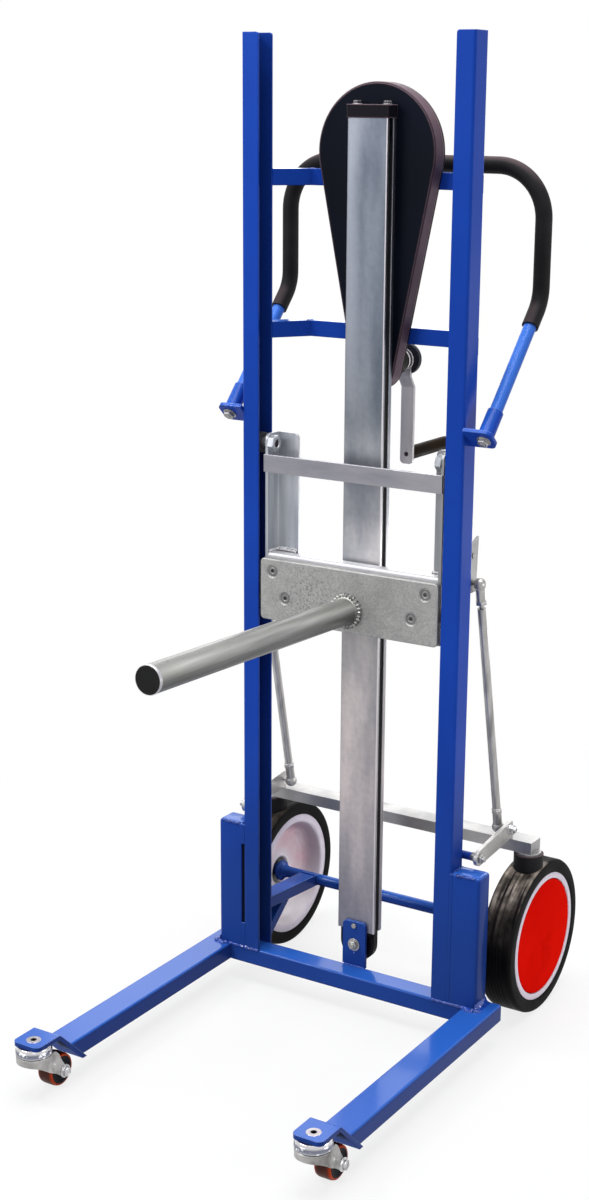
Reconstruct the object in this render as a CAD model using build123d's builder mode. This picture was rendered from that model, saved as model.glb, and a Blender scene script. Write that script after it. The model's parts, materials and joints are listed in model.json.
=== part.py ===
"""Hand-cranked material lift: a wheeled frame with two channel masts, a belt-driven carriage and a lifting boom.

X is across the lift, Y runs from the boom tip (front) to the wheels (back), Z is up from the floor.
The origin is on the floor in the middle of the lift's outline. All sizes are in millimetres.
"""

import math
import os

from build123d import *

os.makedirs("parts", exist_ok=True)

# Fits
GAP = 0.3  # between pieces that move past each other
RUN = 0.05  # radial, a round shaft in its hole

# Masts: two channels with their open sides facing each other
MAST_FRONT = 98.0
MAST_DEPTH = 40.0
MAST_WIDTH = 30.0
MAST_OUT = 197.0
MAST_WALL = 3.0
MAST_TOP = 1558.0
BEND_R = 4.0
MAST_BACK = MAST_FRONT + MAST_DEPTH
MAST_IN = MAST_OUT - MAST_WIDTH
MAST_MID = MAST_OUT - MAST_WIDTH / 2

# Base: a crossbar between two legs
LEG_LOW = 38.0
LEG_H = 30.0
LEG_W = 50.0
LEG_IN = 224.0
TUBE_WALL = 3.0
LEG_TOP = LEG_LOW + LEG_H
LEG_OUT = LEG_IN + LEG_W
LEG_MID = LEG_IN + LEG_W / 2

# Boxes that stiffen the foot of each mast
STIFF_W = 50.0
STIFF_DROP = 18.0

# Bent plates that carry the casters
PLATE_T = 7.0
PLATE_W = 50.0
PLATE_LOW = 32.0
TAB_TOP = 94.0
LEG_REACH = 509.0
TAB_L = 53.0
TAB_FRONT = MAST_FRONT - LEG_REACH
TAB_BEND = TAB_FRONT + TAB_L
TAB_LOW = TAB_TOP - PLATE_T

# Casters
CASTER_INSET = 21.0
CASTER_Y = TAB_FRONT + CASTER_INSET
CASTER_TRAIL = 47.0
CASTER_R = 26.0
CASTER_W = 31.0
KING_R = 5.0
RACE_R = 27.7
RACE_SPLIT = 75.0
RACE_LOW = 62.0
SKIRT = 5.0
FORK_T = 3.0
CASTER_AXLE_R = 4.0
CASTER_AXLE_Y = CASTER_Y + CASTER_TRAIL
FORK_IN = CASTER_W / 2 + 1.2

# Rear wheels and their axle
WHEEL_R = 130.0
AXLE_BEHIND = 152.6
AXLE_R = 10.0
TYRE_OUT = 275.0
TYRE_W = 56.0
TYRE_H = 22.0
RIM_EDGE = 10.0
HUB_W = 14.4
HUB_DEEP = 13.3
HUB_R = 22.0
COLLAR_R = 18.0
ARM_H = 20.0
ARM_RISE = 13.0
WHEEL_Y = MAST_BACK + AXLE_BEHIND
ARM_START_Z = WHEEL_R + ARM_RISE
TYRE_IN = TYRE_OUT - TYRE_W
RIM_R = WHEEL_R - TYRE_H
RIM_EDGE_R = RIM_R - RIM_EDGE
HUB_OUT = TYRE_OUT - HUB_DEEP
HUB_IN = HUB_OUT - HUB_W

# Cross tubes behind the masts
CROSS_S = 25.0
CROSS_WALL = 2.5
CROSS_BEHIND = 68.5
CROSS_LOW_DROP = 443.5
CROSS_HIGH_DROP = 211.0
CROSS_Y = MAST_BACK + CROSS_BEHIND
CROSS_BEND_X = 137.0
CROSS_END_X = 181.0
CROSS_Z = (MAST_TOP - CROSS_LOW_DROP, MAST_TOP - CROSS_HIGH_DROP)

# Lift column: a slotted profile with the belt inside
COL_W = 68.0
COL_D = 26.0
COL_GAP = 1.5
COL_WALL = 3.0
COL_LOW = 131.0
COL_DROP = 121.0
SLOT_W = 13.0
SLOT_LIP = 5.5
COL_FRONT = MAST_BACK + COL_GAP
COL_BACK = COL_FRONT + COL_D
COL_TOP = MAST_TOP - COL_DROP
SLOT_FRONT = COL_FRONT + SLOT_LIP
SLOT_BACK = SLOT_FRONT + SLOT_W
CAP_H = 19.0
FOOT_W = 44.0
FOOT_T = 5.0
FOOT_TOP = 148.0

# Belt, its two pulleys and the chain drive
BELT_R = 29.0
BELT_T = 3.0
BELT_GAP = 0.5
BELT_FRONT = SLOT_FRONT + BELT_GAP
BELT_BACK = SLOT_BACK - BELT_GAP
IDLER_Z = 107.0
IDLER_BOLT_R = 6.0
TOP_DROP = 50.0
DRIVE_SPAN = 319.0
TOP_Z = COL_TOP - TOP_DROP
CRANK_Z = TOP_Z - DRIVE_SPAN
SHAFT_R = 8.0
BIG_R = 86.4
SMALL_R = 19.9
CHAIN_DEEP = 2.5
CHAIN_OUT = 3.0
CHAIN_W = 6.0
CHAIN_GAP = 10.0
CHAIN_FRONT = COL_BACK + CHAIN_GAP
CHAIN_BACK = CHAIN_FRONT + CHAIN_W

# Cover over the chain drive and the plate behind it
COVER_R = 102.0
COVER_LOW_R = 38.0
COVER_WALL = 2.0
BASE_PLATE_T = 4.0
BASE_PLATE_BACK = CROSS_Y - CROSS_S / 2
COVER_BACK = BASE_PLATE_BACK - BASE_PLATE_T
SPACER_R = 12.0
SPACER_RISE = 112.0
SPACER_STEP = 90.0
SPACER_Z = (CRANK_Z + SPACER_RISE, CRANK_Z + SPACER_RISE + SPACER_STEP)
BEARING_R = 20.0
BEARING_L = 52.0
BEARING_END = BASE_PLATE_BACK + BEARING_L

# Crank
DISC_R = 18.0
DISC_T = 3.0
DISC_GAP = 4.0
LINING_T = 7.0
ARM_GAP = 2.0
DISC_1 = BEARING_END + DISC_GAP
DISC_2 = DISC_1 + DISC_T + LINING_T
CRANK_ARM_Y = DISC_2 + DISC_T + ARM_GAP
CRANK_ARM_T = 5.0
CRANK_ARM_W = 23.0
CRANK_JOG = 13.0
CRANK_RADIUS = 154.0
CRANK_HUB_R = 24.5
CRANK_HUB_T = 8.0
GRIP_R = 11.0
GRIP_BORE_R = 4.0
GRIP_LEN = 126.0

# Push handle
HANDLE_X = 226.0
HANDLE_R = 10.0
HANDLE_WALL = 2.0
HANDLE_GRIP_R = 13.0
HANDLE_INSET = 12.0
HANDLE_DROP = 571.5
HANDLE_REACH = 172.0
KNEE_RISE = 186.5
LOOP_RISE = 197.0
HANDLE_LOW_Y = MAST_FRONT + HANDLE_INSET
HANDLE_LOW_Z = MAST_TOP - HANDLE_DROP
HANDLE_BACK_Y = HANDLE_LOW_Y + HANDLE_REACH
HANDLE_KNEE_Z = HANDLE_LOW_Z + KNEE_RISE
HANDLE_TOP_Z = HANDLE_KNEE_Z + LOOP_RISE
HANDLE_KNEE_R = 55.0
HANDLE_TOP_R = 78.0
GRIP_START = 0.8
LUG_W = 45.0
LUG_L = 39.0
LUG_T = 6.0
SOCKET_R = 12.5
SOCKET_L = 45.0

# Carriage
PLATE_PROUD = 2.4
PLATE_FRONT = MAST_FRONT - PLATE_PROUD
BOOM_PLATE_T = 12.0
BOOM_PLATE_X = 161.5
BOOM_PLATE_LOW = 656.5
BOOM_PLATE_TOP = 757.0
PLATE_BACK = PLATE_FRONT + BOOM_PLATE_T
SCREW_SPOTS = ((139.0, 737.0), (115.0, 695.5))
SCREW_R = 5.0
SCREW_HEAD_R = 11.0
MEMBER_D = 22.5
MEMBER_RISE = 9.0
MEMBER_WALL = 4.0
BAR_X = 160.0
BAR_T = 5.0
BAR_LOW = 895.0
BAR_TOP = 923.0
ANGLE_OUT = 160.0
ANGLE_T = 5.0
ANGLE_BACK_T = 4.0
ANGLE_PAST = 4.0
ANGLE_BACK = MAST_BACK + ANGLE_PAST
ANGLE_FLANGE_LEFT = 43.0
ANGLE_FLANGE_RIGHT = 29.0
ANGLE_TOP = 955.0
ROLLER_Y = MAST_FRONT + MAST_DEPTH / 2
ROLLER_R = 16.5
ROLLER_IN = 169.0
ROLLER_OUT = 191.0
ROLLER_PIN_R = 6.0
ROLLER_Z = (939.0, 700.0)
CLAMP_X = 46.0
CLAMP_LOW = 668.0
CLAMP_TOP = 732.0

# Boom
BOOM_R = 21.2
BOOM_WALL = 3.2
BOOM_Z = 692.0
BOOM_TILT = 2.0
BOOM_L = 513.0
PLUG_T = 3.0
PLUG_IN = 20.0
WELD = 6.0
WELD_FOOT = 1.2

# Wheel brake and its gas springs
BRAKE_RISE = 48.0
BRAKE_PIN_R = 6.75
BRAKE_STUD_R = 5.0
BAR_INSET = 13.0
BAR_AHEAD = 37.6
BAR_RISE = 24.5
BRAKE_BAR_D = 34.0
BRAKE_BAR_H = 20.0
PAD_SHARE = 0.446
PAD_R = 24.5
PAD_WASHER_T = 4.0
BRAKE_ARM_IN = 218.0
BRAKE_ARM_T = 6.0
BRAKE_ARM_R = 13.0
BALL_X = 201.0
BALL_R = 5.0
BALL_SOCKET_R = 10.0
BALL_AHEAD = 1.0
BALL_RISE = 14.0
BALL_BEHIND = 20.0
BALL_TOP_Z = 750.0
BRAKE_Y = MAST_BACK + BRAKE_PIN_R
BRAKE_Z = 2 * WHEEL_R + BRAKE_RISE
BRAKE_BAR_X = TYRE_OUT - BAR_INSET
BRAKE_BAR_FRONT = WHEEL_Y - BAR_AHEAD
BRAKE_BAR_LOW = 2 * WHEEL_R + BAR_RISE
PAD_X = TYRE_OUT - TYRE_W * PAD_SHARE
BALL_LOW_Y = BRAKE_BAR_FRONT - BALL_AHEAD
BALL_LOW_Z = BRAKE_Z + BALL_RISE
BALL_TOP_Y = MAST_BACK + BALL_BEHIND
STIFF_TOP = BRAKE_Z - STIFF_DROP
SPRING_TUBE_R = 6.75
SPRING_BORE_R = 5.0
SPRING_ROD_R = 3.5
SPRING_FITTING_R = 7.5
SPRING_FITTING_L = 34.0
SPRING_NECK = 7.0


def yz(x):
    """Plane at one X, drawn with Y to the right and Z up; it extrudes towards +X."""
    return Plane(origin=(x, 0, 0), x_dir=(0, 1, 0), z_dir=(1, 0, 0))


def xz(y):
    """Plane at one Y, drawn with X to the right and Z up; a negative extrude goes towards +Y."""
    return Plane(origin=(0, y, 0), x_dir=(1, 0, 0), z_dir=(0, -1, 0))


def upright(x, y):
    """Plane through a vertical axis, drawn with distance from the axis to the right and Z up."""
    return Plane(origin=(x, y, 0), x_dir=(1, 0, 0), z_dir=(0, -1, 0))


def lying(y, z):
    """Plane through an axis along X, drawn with X to the right and distance from the axis up."""
    return Plane(origin=(0, y, z), x_dir=(1, 0, 0), z_dir=(0, -1, 0))


def save(made, name):
    made.part.label = name
    export_step(made.part, "parts/" + name + ".step")


# Masts
with BuildPart() as right_mast:
    with BuildSketch(Plane.XY.offset(LEG_TOP)) as channel:
        with Locations((MAST_MID, MAST_FRONT + MAST_DEPTH / 2)):
            Rectangle(MAST_WIDTH, MAST_DEPTH)
        with Locations((MAST_IN, MAST_FRONT + MAST_DEPTH / 2)):
            Rectangle(2 * (MAST_WIDTH - MAST_WALL), MAST_DEPTH - 2 * MAST_WALL, mode=Mode.SUBTRACT)
        fillet(channel.vertices().group_by(Axis.X)[-2], BEND_R - MAST_WALL)
        fillet(channel.vertices().group_by(Axis.X)[-1], BEND_R)
    extrude(amount=MAST_TOP - LEG_TOP)
    lips = right_mast.edges().filter_by(Axis.Y).group_by(Axis.Z)[-1].group_by(Axis.X)[0]
    fillet(lips, BEND_R)
with BuildPart() as left_mast:
    mirror(right_mast.part, about=Plane.YZ)

# Base
with BuildPart() as base_crossbar:
    with BuildSketch(yz(-LEG_IN)) as bar_section:
        with Locations((MAST_FRONT + MAST_DEPTH / 2, LEG_LOW + LEG_H / 2)):
            RectangleRounded(MAST_DEPTH, LEG_H, BEND_R)
            RectangleRounded(
                MAST_DEPTH - 2 * TUBE_WALL, LEG_H - 2 * TUBE_WALL, BEND_R - TUBE_WALL, mode=Mode.SUBTRACT
            )
    extrude(amount=2 * LEG_IN)

LEG_CUT_TOP = TAB_BEND + TAB_TOP - LEG_TOP
LEG_CUT_LOW = TAB_BEND + TAB_TOP - LEG_LOW
with BuildPart() as right_leg:
    with BuildSketch(yz(LEG_IN)):
        with BuildLine():
            Polyline(
                (MAST_BACK, LEG_LOW),
                (MAST_BACK, LEG_TOP),
                (LEG_CUT_TOP, LEG_TOP),
                (LEG_CUT_LOW, LEG_LOW),
                close=True,
            )
        make_face()
    extrude(amount=LEG_W)
    fillet(right_leg.edges().filter_by(Axis.Y), BEND_R)
    with BuildSketch(yz(LEG_IN + TUBE_WALL)):
        with BuildLine():
            Polyline(
                (MAST_BACK - TUBE_WALL, LEG_LOW + TUBE_WALL),
                (MAST_BACK - TUBE_WALL, LEG_TOP - TUBE_WALL),
                (LEG_CUT_TOP - LEG_H, LEG_TOP - TUBE_WALL),
                (LEG_CUT_TOP - LEG_H, LEG_LOW + TUBE_WALL),
                close=True,
            )
        make_face()
    extrude(amount=LEG_W - 2 * TUBE_WALL, mode=Mode.SUBTRACT)
with BuildPart() as left_leg:
    mirror(right_leg.part, about=Plane.YZ)

with BuildPart() as mast_stiffeners:
    with BuildSketch(yz(MAST_OUT)):
        with Locations((MAST_FRONT + MAST_DEPTH / 2, (LEG_TOP + STIFF_TOP) / 2)):
            Rectangle(MAST_DEPTH, STIFF_TOP - LEG_TOP)
    extrude(amount=STIFF_W)
    fillet(mast_stiffeners.faces().sort_by(Axis.Z)[-1].edges().filter_by(Axis.Y).sort_by(Axis.X)[-1:], BEND_R)
    fillet(mast_stiffeners.edges().filter_by(Axis.Z).group_by(Axis.X)[-1], BEND_R)
    with BuildSketch(yz(MAST_OUT)):
        with Locations((MAST_FRONT + MAST_DEPTH / 2, (LEG_TOP + STIFF_TOP) / 2 - TUBE_WALL)):
            Rectangle(MAST_DEPTH - 2 * TUBE_WALL, STIFF_TOP - LEG_TOP)
    extrude(amount=STIFF_W - TUBE_WALL, mode=Mode.SUBTRACT)
    mirror(about=Plane.YZ)

# Bent caster plates
SLANT = PLATE_T * math.sqrt(2)
with BuildPart() as caster_plates:
    with BuildSketch(yz(LEG_MID - PLATE_W / 2)):
        with BuildLine():
            Polyline(
                (TAB_FRONT, TAB_LOW),
                (TAB_FRONT, TAB_TOP),
                (TAB_BEND, TAB_TOP),
                (TAB_BEND + TAB_TOP - PLATE_LOW, PLATE_LOW),
                (TAB_BEND + TAB_TOP - PLATE_LOW - SLANT, PLATE_LOW),
                (TAB_BEND + PLATE_T - SLANT, TAB_LOW),
                close=True,
            )
        make_face()
    extrude(amount=PLATE_W)
    fillet(caster_plates.edges().filter_by(Axis.Z), 10.0)
    knee = caster_plates.edges().filter_by(Axis.X).sort_by_distance((LEG_MID, TAB_BEND, TAB_TOP))[0]
    fillet(knee, PLATE_T)
    with Locations((LEG_MID, CASTER_Y, TAB_TOP)):
        CounterSinkHole(KING_R, KING_R + PLATE_T - 0.5, depth=PLATE_T)
    mirror(about=Plane.YZ)

# Caster heads: upper ball race, king pin and its rivet, fixed to the plates
with BuildPart() as caster_heads:
    with BuildSketch(upright(LEG_MID, CASTER_Y)):
        with BuildLine():
            Polyline(
                (0, TAB_TOP),
                (KING_R + PLATE_T - 0.6, TAB_TOP),
                (KING_R - 0.1, TAB_LOW + 0.5),
                (KING_R - 0.1, TAB_LOW),
                (RACE_R - 3, TAB_LOW),
                (RACE_R, TAB_LOW - 3),
                (RACE_R, RACE_SPLIT + GAP + 3),
                (RACE_R - 2, RACE_SPLIT + GAP),
                (KING_R, RACE_SPLIT + GAP),
                (KING_R, RACE_LOW - GAP),
                (KING_R + 4, RACE_LOW - GAP),
                (KING_R + 3, RACE_LOW - 4),
                (0, RACE_LOW - 4),
                close=True,
            )
        make_face()
    revolve(axis=Axis((LEG_MID, CASTER_Y, 0), (0, 0, 1)))
    mirror(about=Plane.YZ)

# Caster forks with the lower ball race and the wheel bolt
with BuildPart() as right_caster_fork:
    with BuildSketch(upright(LEG_MID, CASTER_Y)):
        with BuildLine():
            Polyline(
                (KING_R + RUN, RACE_LOW),
                (RACE_R - 0.5 - FORK_T, RACE_LOW),
                (RACE_R - 0.5 - FORK_T, RACE_LOW - SKIRT),
                (RACE_R - 2.5, RACE_LOW - SKIRT),
                (RACE_R - 0.5, RACE_LOW - SKIRT + 2),
                (RACE_R - 0.5, RACE_SPLIT - 3),
                (RACE_R - 2.5, RACE_SPLIT),
                (KING_R + RUN, RACE_SPLIT),
                close=True,
            )
        make_face()
    revolve(axis=Axis((LEG_MID, CASTER_Y, 0), (0, 0, 1)))
    for cheek in (FORK_IN, -FORK_IN - FORK_T):
        with BuildSketch(yz(LEG_MID + cheek)):
            with BuildLine():
                Polyline(
                    (CASTER_Y - 16, RACE_LOW + 6),
                    (CASTER_Y + 17, RACE_LOW + 9),
                    (CASTER_Y + 26, RACE_LOW + 7),
                    (CASTER_AXLE_Y - 7, CASTER_R + 25),
                    (CASTER_AXLE_Y + 5, CASTER_R + 12),
                    (CASTER_AXLE_Y + 10, CASTER_R + 3),
                    (CASTER_AXLE_Y + 8, CASTER_R - 7),
                    (CASTER_AXLE_Y - 2, CASTER_R - 10),
                    (CASTER_AXLE_Y - 11, CASTER_R - 5),
                    (CASTER_Y + 17, RACE_LOW - SKIRT - 10),
                    (CASTER_Y - 16, RACE_LOW - SKIRT + 1),
                    close=True,
                )
            make_face()
        extrude(amount=FORK_T)
    with BuildSketch(yz(LEG_MID - FORK_IN - FORK_T)):
        with Locations((CASTER_AXLE_Y, CASTER_R)):
            Circle(CASTER_AXLE_R)
    extrude(amount=2 * (FORK_IN + FORK_T))
    with BuildSketch(yz(LEG_MID - FORK_IN - FORK_T), yz(LEG_MID + FORK_IN + FORK_T + 5)):
        with Locations((CASTER_AXLE_Y, CASTER_R)):
            RegularPolygon(7, 6)
    extrude(amount=-5)
with BuildPart() as left_caster_fork:
    mirror(right_caster_fork.part, about=Plane.YZ)

with BuildPart() as right_caster_wheel:
    with BuildSketch(lying(CASTER_AXLE_Y, CASTER_R)):
        with BuildLine():
            Polyline(
                (LEG_MID - CASTER_W / 2, CASTER_AXLE_R + RUN),
                (LEG_MID + CASTER_W / 2, CASTER_AXLE_R + RUN),
                (LEG_MID + CASTER_W / 2, 9),
                (LEG_MID + CASTER_W / 2 - 2, 11),
                (LEG_MID + CASTER_W / 2 - 2, CASTER_R - 4),
                (LEG_MID + CASTER_W / 2 - 3.5, CASTER_R - 1.2),
                (LEG_MID + CASTER_W / 2 - 7, CASTER_R),
                (LEG_MID - CASTER_W / 2 + 7, CASTER_R),
                (LEG_MID - CASTER_W / 2 + 3.5, CASTER_R - 1.2),
                (LEG_MID - CASTER_W / 2 + 2, CASTER_R - 4),
                (LEG_MID - CASTER_W / 2 + 2, 11),
                (LEG_MID - CASTER_W / 2, 9),
                close=True,
            )
        make_face()
    revolve(axis=Axis((LEG_MID, CASTER_AXLE_Y, CASTER_R), (1, 0, 0)))
with BuildPart() as left_caster_wheel:
    mirror(right_caster_wheel.part, about=Plane.YZ)

# Rear axle with its collars and end washers
AXLE_END = HUB_OUT + GAP + 4
with BuildPart() as rear_axle:
    with BuildSketch(lying(WHEEL_Y, WHEEL_R)):
        with BuildLine():
            Polyline(
                (-AXLE_END, 0),
                (-AXLE_END, AXLE_R + 5),
                (-AXLE_END + 4, AXLE_R + 5),
                (-AXLE_END + 4, AXLE_R),
                (-HUB_IN + GAP, AXLE_R),
                (-HUB_IN + GAP, COLLAR_R),
                (-HUB_IN + GAP + 4, COLLAR_R),
                (-HUB_IN + GAP + 4, AXLE_R),
                (HUB_IN - GAP - 4, AXLE_R),
                (HUB_IN - GAP - 4, COLLAR_R),
                (HUB_IN - GAP, COLLAR_R),
                (HUB_IN - GAP, AXLE_R),
                (AXLE_END - 4, AXLE_R),
                (AXLE_END - 4, AXLE_R + 5),
                (AXLE_END, AXLE_R + 5),
                (AXLE_END, 0),
                close=True,
            )
        make_face()
    revolve(axis=Axis((0, WHEEL_Y, WHEEL_R), (1, 0, 0)))

# Arms from the masts to the axle, each with a brace below
ARM_DROP = (ARM_START_Z - WHEEL_R) / (WHEEL_Y - MAST_BACK)


def arm_z(y, half):
    """Height of an arm's edge at one Y, half the arm above or below its middle line."""
    return ARM_START_Z - ARM_DROP * (y - MAST_BACK) + half


with BuildPart() as axle_arms:
    with BuildSketch(yz(MAST_IN)):
        with BuildLine():
            Polyline(
                (MAST_BACK, arm_z(MAST_BACK, -ARM_H / 2)),
                (MAST_BACK, arm_z(MAST_BACK, ARM_H / 2)),
                (WHEEL_Y, arm_z(WHEEL_Y, ARM_H / 2)),
                (WHEEL_Y, arm_z(WHEEL_Y, -ARM_H / 2)),
                close=True,
            )
        make_face()
    extrude(amount=MAST_WIDTH)
    with BuildSketch(yz(MAST_IN + TUBE_WALL)):
        with BuildLine():
            Polyline(
                (MAST_BACK - 1, arm_z(MAST_BACK - 1, -ARM_H / 2 + TUBE_WALL)),
                (MAST_BACK - 1, arm_z(MAST_BACK - 1, ARM_H / 2 - TUBE_WALL)),
                (WHEEL_Y + 1, arm_z(WHEEL_Y + 1, ARM_H / 2 - TUBE_WALL)),
                (WHEEL_Y + 1, arm_z(WHEEL_Y + 1, -ARM_H / 2 + TUBE_WALL)),
                close=True,
            )
        make_face()
    extrude(amount=MAST_WIDTH - 2 * TUBE_WALL, mode=Mode.SUBTRACT)
    with BuildSketch(yz(MAST_IN + 5)):
        with BuildLine():
            Polyline(
                (MAST_BACK, LEG_TOP + 4),
                (MAST_BACK, LEG_TOP + 22),
                (MAST_BACK + 46, arm_z(MAST_BACK + 46, -ARM_H / 2) + 1),
                (MAST_BACK + 68, arm_z(MAST_BACK + 68, -ARM_H / 2) + 1),
                close=True,
            )
        make_face()
    extrude(amount=20)
    with BuildSketch(yz(MAST_IN)):
        with Locations((WHEEL_Y, WHEEL_R)):
            Circle(AXLE_R)
    extrude(amount=MAST_WIDTH, mode=Mode.SUBTRACT)
    mirror(about=Plane.YZ)

# Rear wheels
with BuildPart() as right_tyre:
    with BuildSketch(lying(WHEEL_Y, WHEEL_R)):
        with BuildLine():
            Polyline(
                (TYRE_IN, RIM_R),
                (TYRE_IN, WHEEL_R - 5),
                (TYRE_IN + 1.5, WHEEL_R - 1.5),
                (TYRE_IN + 5, WHEEL_R),
                (TYRE_OUT - 5, WHEEL_R),
                (TYRE_OUT - 1.5, WHEEL_R - 1.5),
                (TYRE_OUT, WHEEL_R - 5),
                (TYRE_OUT, RIM_R),
                close=True,
            )
        make_face()
        with GridLocations(6.2, 1, 5, 1):
            with Locations(((TYRE_IN + TYRE_OUT) / 2, WHEEL_R)):
                Rectangle(1.6, 4, mode=Mode.SUBTRACT)
    revolve(axis=Axis((0, WHEEL_Y, WHEEL_R), (1, 0, 0)))
with BuildPart() as left_tyre:
    mirror(right_tyre.part, about=Plane.YZ)

with BuildPart() as right_rim:
    with BuildSketch(lying(WHEEL_Y, WHEEL_R)):
        with BuildLine():
            Polyline(
                (HUB_IN, AXLE_R + RUN),
                (HUB_OUT, AXLE_R + RUN),
                (HUB_OUT, HUB_R),
                (HUB_OUT - 7.5, HUB_R + 4),
                (HUB_OUT - 7.5, RIM_EDGE_R - 34),
                (TYRE_IN + 16, RIM_EDGE_R - 20),
                (TYRE_IN + 8, RIM_EDGE_R - 8),
                (TYRE_IN + 8, RIM_EDGE_R),
                (TYRE_OUT - 0.5, RIM_EDGE_R),
                (TYRE_OUT - 0.5, RIM_R),
                (TYRE_IN + 0.5, RIM_R),
                (TYRE_IN + 0.5, RIM_EDGE_R - 9),
                (TYRE_IN + 3, RIM_EDGE_R - 13),
                (TYRE_IN + 11, RIM_EDGE_R - 24),
                (HUB_IN + 2, RIM_EDGE_R - 38),
                (HUB_IN + 2, HUB_R + 2),
                (HUB_IN, HUB_R),
                close=True,
            )
        make_face()
    revolve(axis=Axis((0, WHEEL_Y, WHEEL_R), (1, 0, 0)))
with BuildPart() as left_rim:
    mirror(right_rim.part, about=Plane.YZ)

CAP_R = RIM_EDGE_R - 0.3
with BuildPart() as right_wheel_cap:
    with BuildSketch(lying(WHEEL_Y, WHEEL_R)):
        with BuildLine():
            Polyline(
                (AXLE_END + 2, 0),
                (AXLE_END + 2, CAP_R),
                (TYRE_OUT - 2, CAP_R),
                (TYRE_OUT - 0.5, CAP_R - 2),
                (TYRE_OUT - 0.5, 0),
                close=True,
            )
        make_face()
    revolve(axis=Axis((0, WHEEL_Y, WHEEL_R), (1, 0, 0)))
with BuildPart() as left_wheel_cap:
    mirror(right_wheel_cap.part, about=Plane.YZ)

# Cross tubes, mitred to reach the masts
CROSS_RUN = (CROSS_END_X - CROSS_BEND_X) / (CROSS_Y - MAST_BACK)
CROSS_WIDE = math.sqrt(1 + CROSS_RUN * CROSS_RUN)


def cross_outline(half):
    """Corners of the bent tube's outline, half a width to each side of its middle line."""
    mitre = half * (CROSS_WIDE - CROSS_RUN)
    end = half * CROSS_WIDE
    return [
        (-CROSS_END_X - end, MAST_BACK),
        (-CROSS_BEND_X - mitre, CROSS_Y + half),
        (CROSS_BEND_X + mitre, CROSS_Y + half),
        (CROSS_END_X + end, MAST_BACK),
        (CROSS_END_X - end, MAST_BACK),
        (CROSS_BEND_X - mitre, CROSS_Y - half),
        (-CROSS_BEND_X + mitre, CROSS_Y - half),
        (-CROSS_END_X + end, MAST_BACK),
    ]


with BuildPart() as cross_tubes:
    for height in CROSS_Z:
        with BuildSketch(Plane.XY.offset(height - CROSS_S / 2)):
            with BuildLine():
                Polyline(*cross_outline(CROSS_S / 2), close=True)
            make_face()
        extrude(amount=CROSS_S)
    for height in CROSS_Z:
        with BuildSketch(Plane.XY.offset(height - CROSS_S / 2 + CROSS_WALL)):
            with BuildLine():
                Polyline(*cross_outline(CROSS_S / 2 - CROSS_WALL), close=True)
            make_face()
        extrude(amount=CROSS_S - 2 * CROSS_WALL, mode=Mode.SUBTRACT)

# Lift column with its cap and foot
COL_MID = (COL_FRONT + COL_BACK) / 2
with BuildPart() as lift_column:
    with BuildSketch(Plane.XY.offset(COL_LOW)):
        with Locations((0, COL_FRONT + COL_WALL / 2), (0, COL_BACK - COL_WALL / 2)):
            Rectangle(COL_W, COL_WALL)
        with Locations((0, COL_MID)):
            Rectangle(COL_WALL, COL_BACK - COL_FRONT)
        for side in (1, -1):
            with Locations((side * (COL_W / 2 - COL_WALL / 2), (COL_FRONT + SLOT_FRONT) / 2)):
                Rectangle(COL_WALL, SLOT_FRONT - COL_FRONT)
            with Locations((side * (COL_W / 2 - COL_WALL / 2), (SLOT_BACK + COL_BACK) / 2)):
                Rectangle(COL_WALL, COL_BACK - SLOT_BACK)
    extrude(amount=COL_TOP - COL_LOW)
    inner = COL_BACK - COL_FRONT - 2 * COL_WALL
    with BuildSketch(Plane.XY.offset(TOP_Z - BELT_R - 10)):
        with Locations((0, COL_MID)):
            Rectangle(COL_W - 2 * COL_WALL, inner)
    extrude(amount=COL_TOP - TOP_Z + BELT_R + 10, mode=Mode.SUBTRACT)
    with BuildSketch(Plane.XY.offset(COL_LOW)):
        with Locations((0, COL_MID)):
            Rectangle(COL_W - 2 * COL_WALL, inner)
    extrude(amount=IDLER_Z + BELT_R + 10 - COL_LOW, mode=Mode.SUBTRACT)
    with BuildSketch(xz(COL_BACK)):
        with Locations((0, TOP_Z)):
            Circle(SHAFT_R + RUN)
    extrude(amount=COL_WALL, mode=Mode.SUBTRACT)
    with BuildSketch(xz(COL_FRONT)):
        with Locations((0, FOOT_TOP - 7)):
            Circle(3)
    extrude(amount=-COL_WALL, mode=Mode.SUBTRACT)

CAP_BOLT_X = 26.0
with BuildPart() as column_cap:
    with BuildSketch(Plane.XY.offset(COL_TOP)):
        with Locations((0, COL_MID - 1)):
            Rectangle(COL_W + 4, COL_BACK - COL_FRONT + 2)
    extrude(amount=CAP_H)
    fillet(column_cap.edges().filter_by(Axis.Z).group_by(Axis.Y)[0], 2)
    with Locations((CAP_BOLT_X, COL_MID, COL_TOP + CAP_H), (-CAP_BOLT_X, COL_MID, COL_TOP + CAP_H)):
        Hole(4, depth=CAP_H)

with BuildPart() as column_foot_bracket:
    with BuildSketch(xz(COL_FRONT)):
        with Locations((0, (LEG_TOP + FOOT_TOP) / 2)):
            Rectangle(FOOT_W, FOOT_TOP - LEG_TOP)
    extrude(amount=FOOT_T)
    fillet(column_foot_bracket.edges().filter_by(Axis.Y).group_by(Axis.Z)[-1], 8)
    with BuildSketch(xz(COL_FRONT)):
        with Locations((0, IDLER_Z)):
            Circle(IDLER_BOLT_R)
        with Locations((0, FOOT_TOP - 7)):
            Circle(3)
    extrude(amount=FOOT_T, mode=Mode.SUBTRACT)

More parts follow.
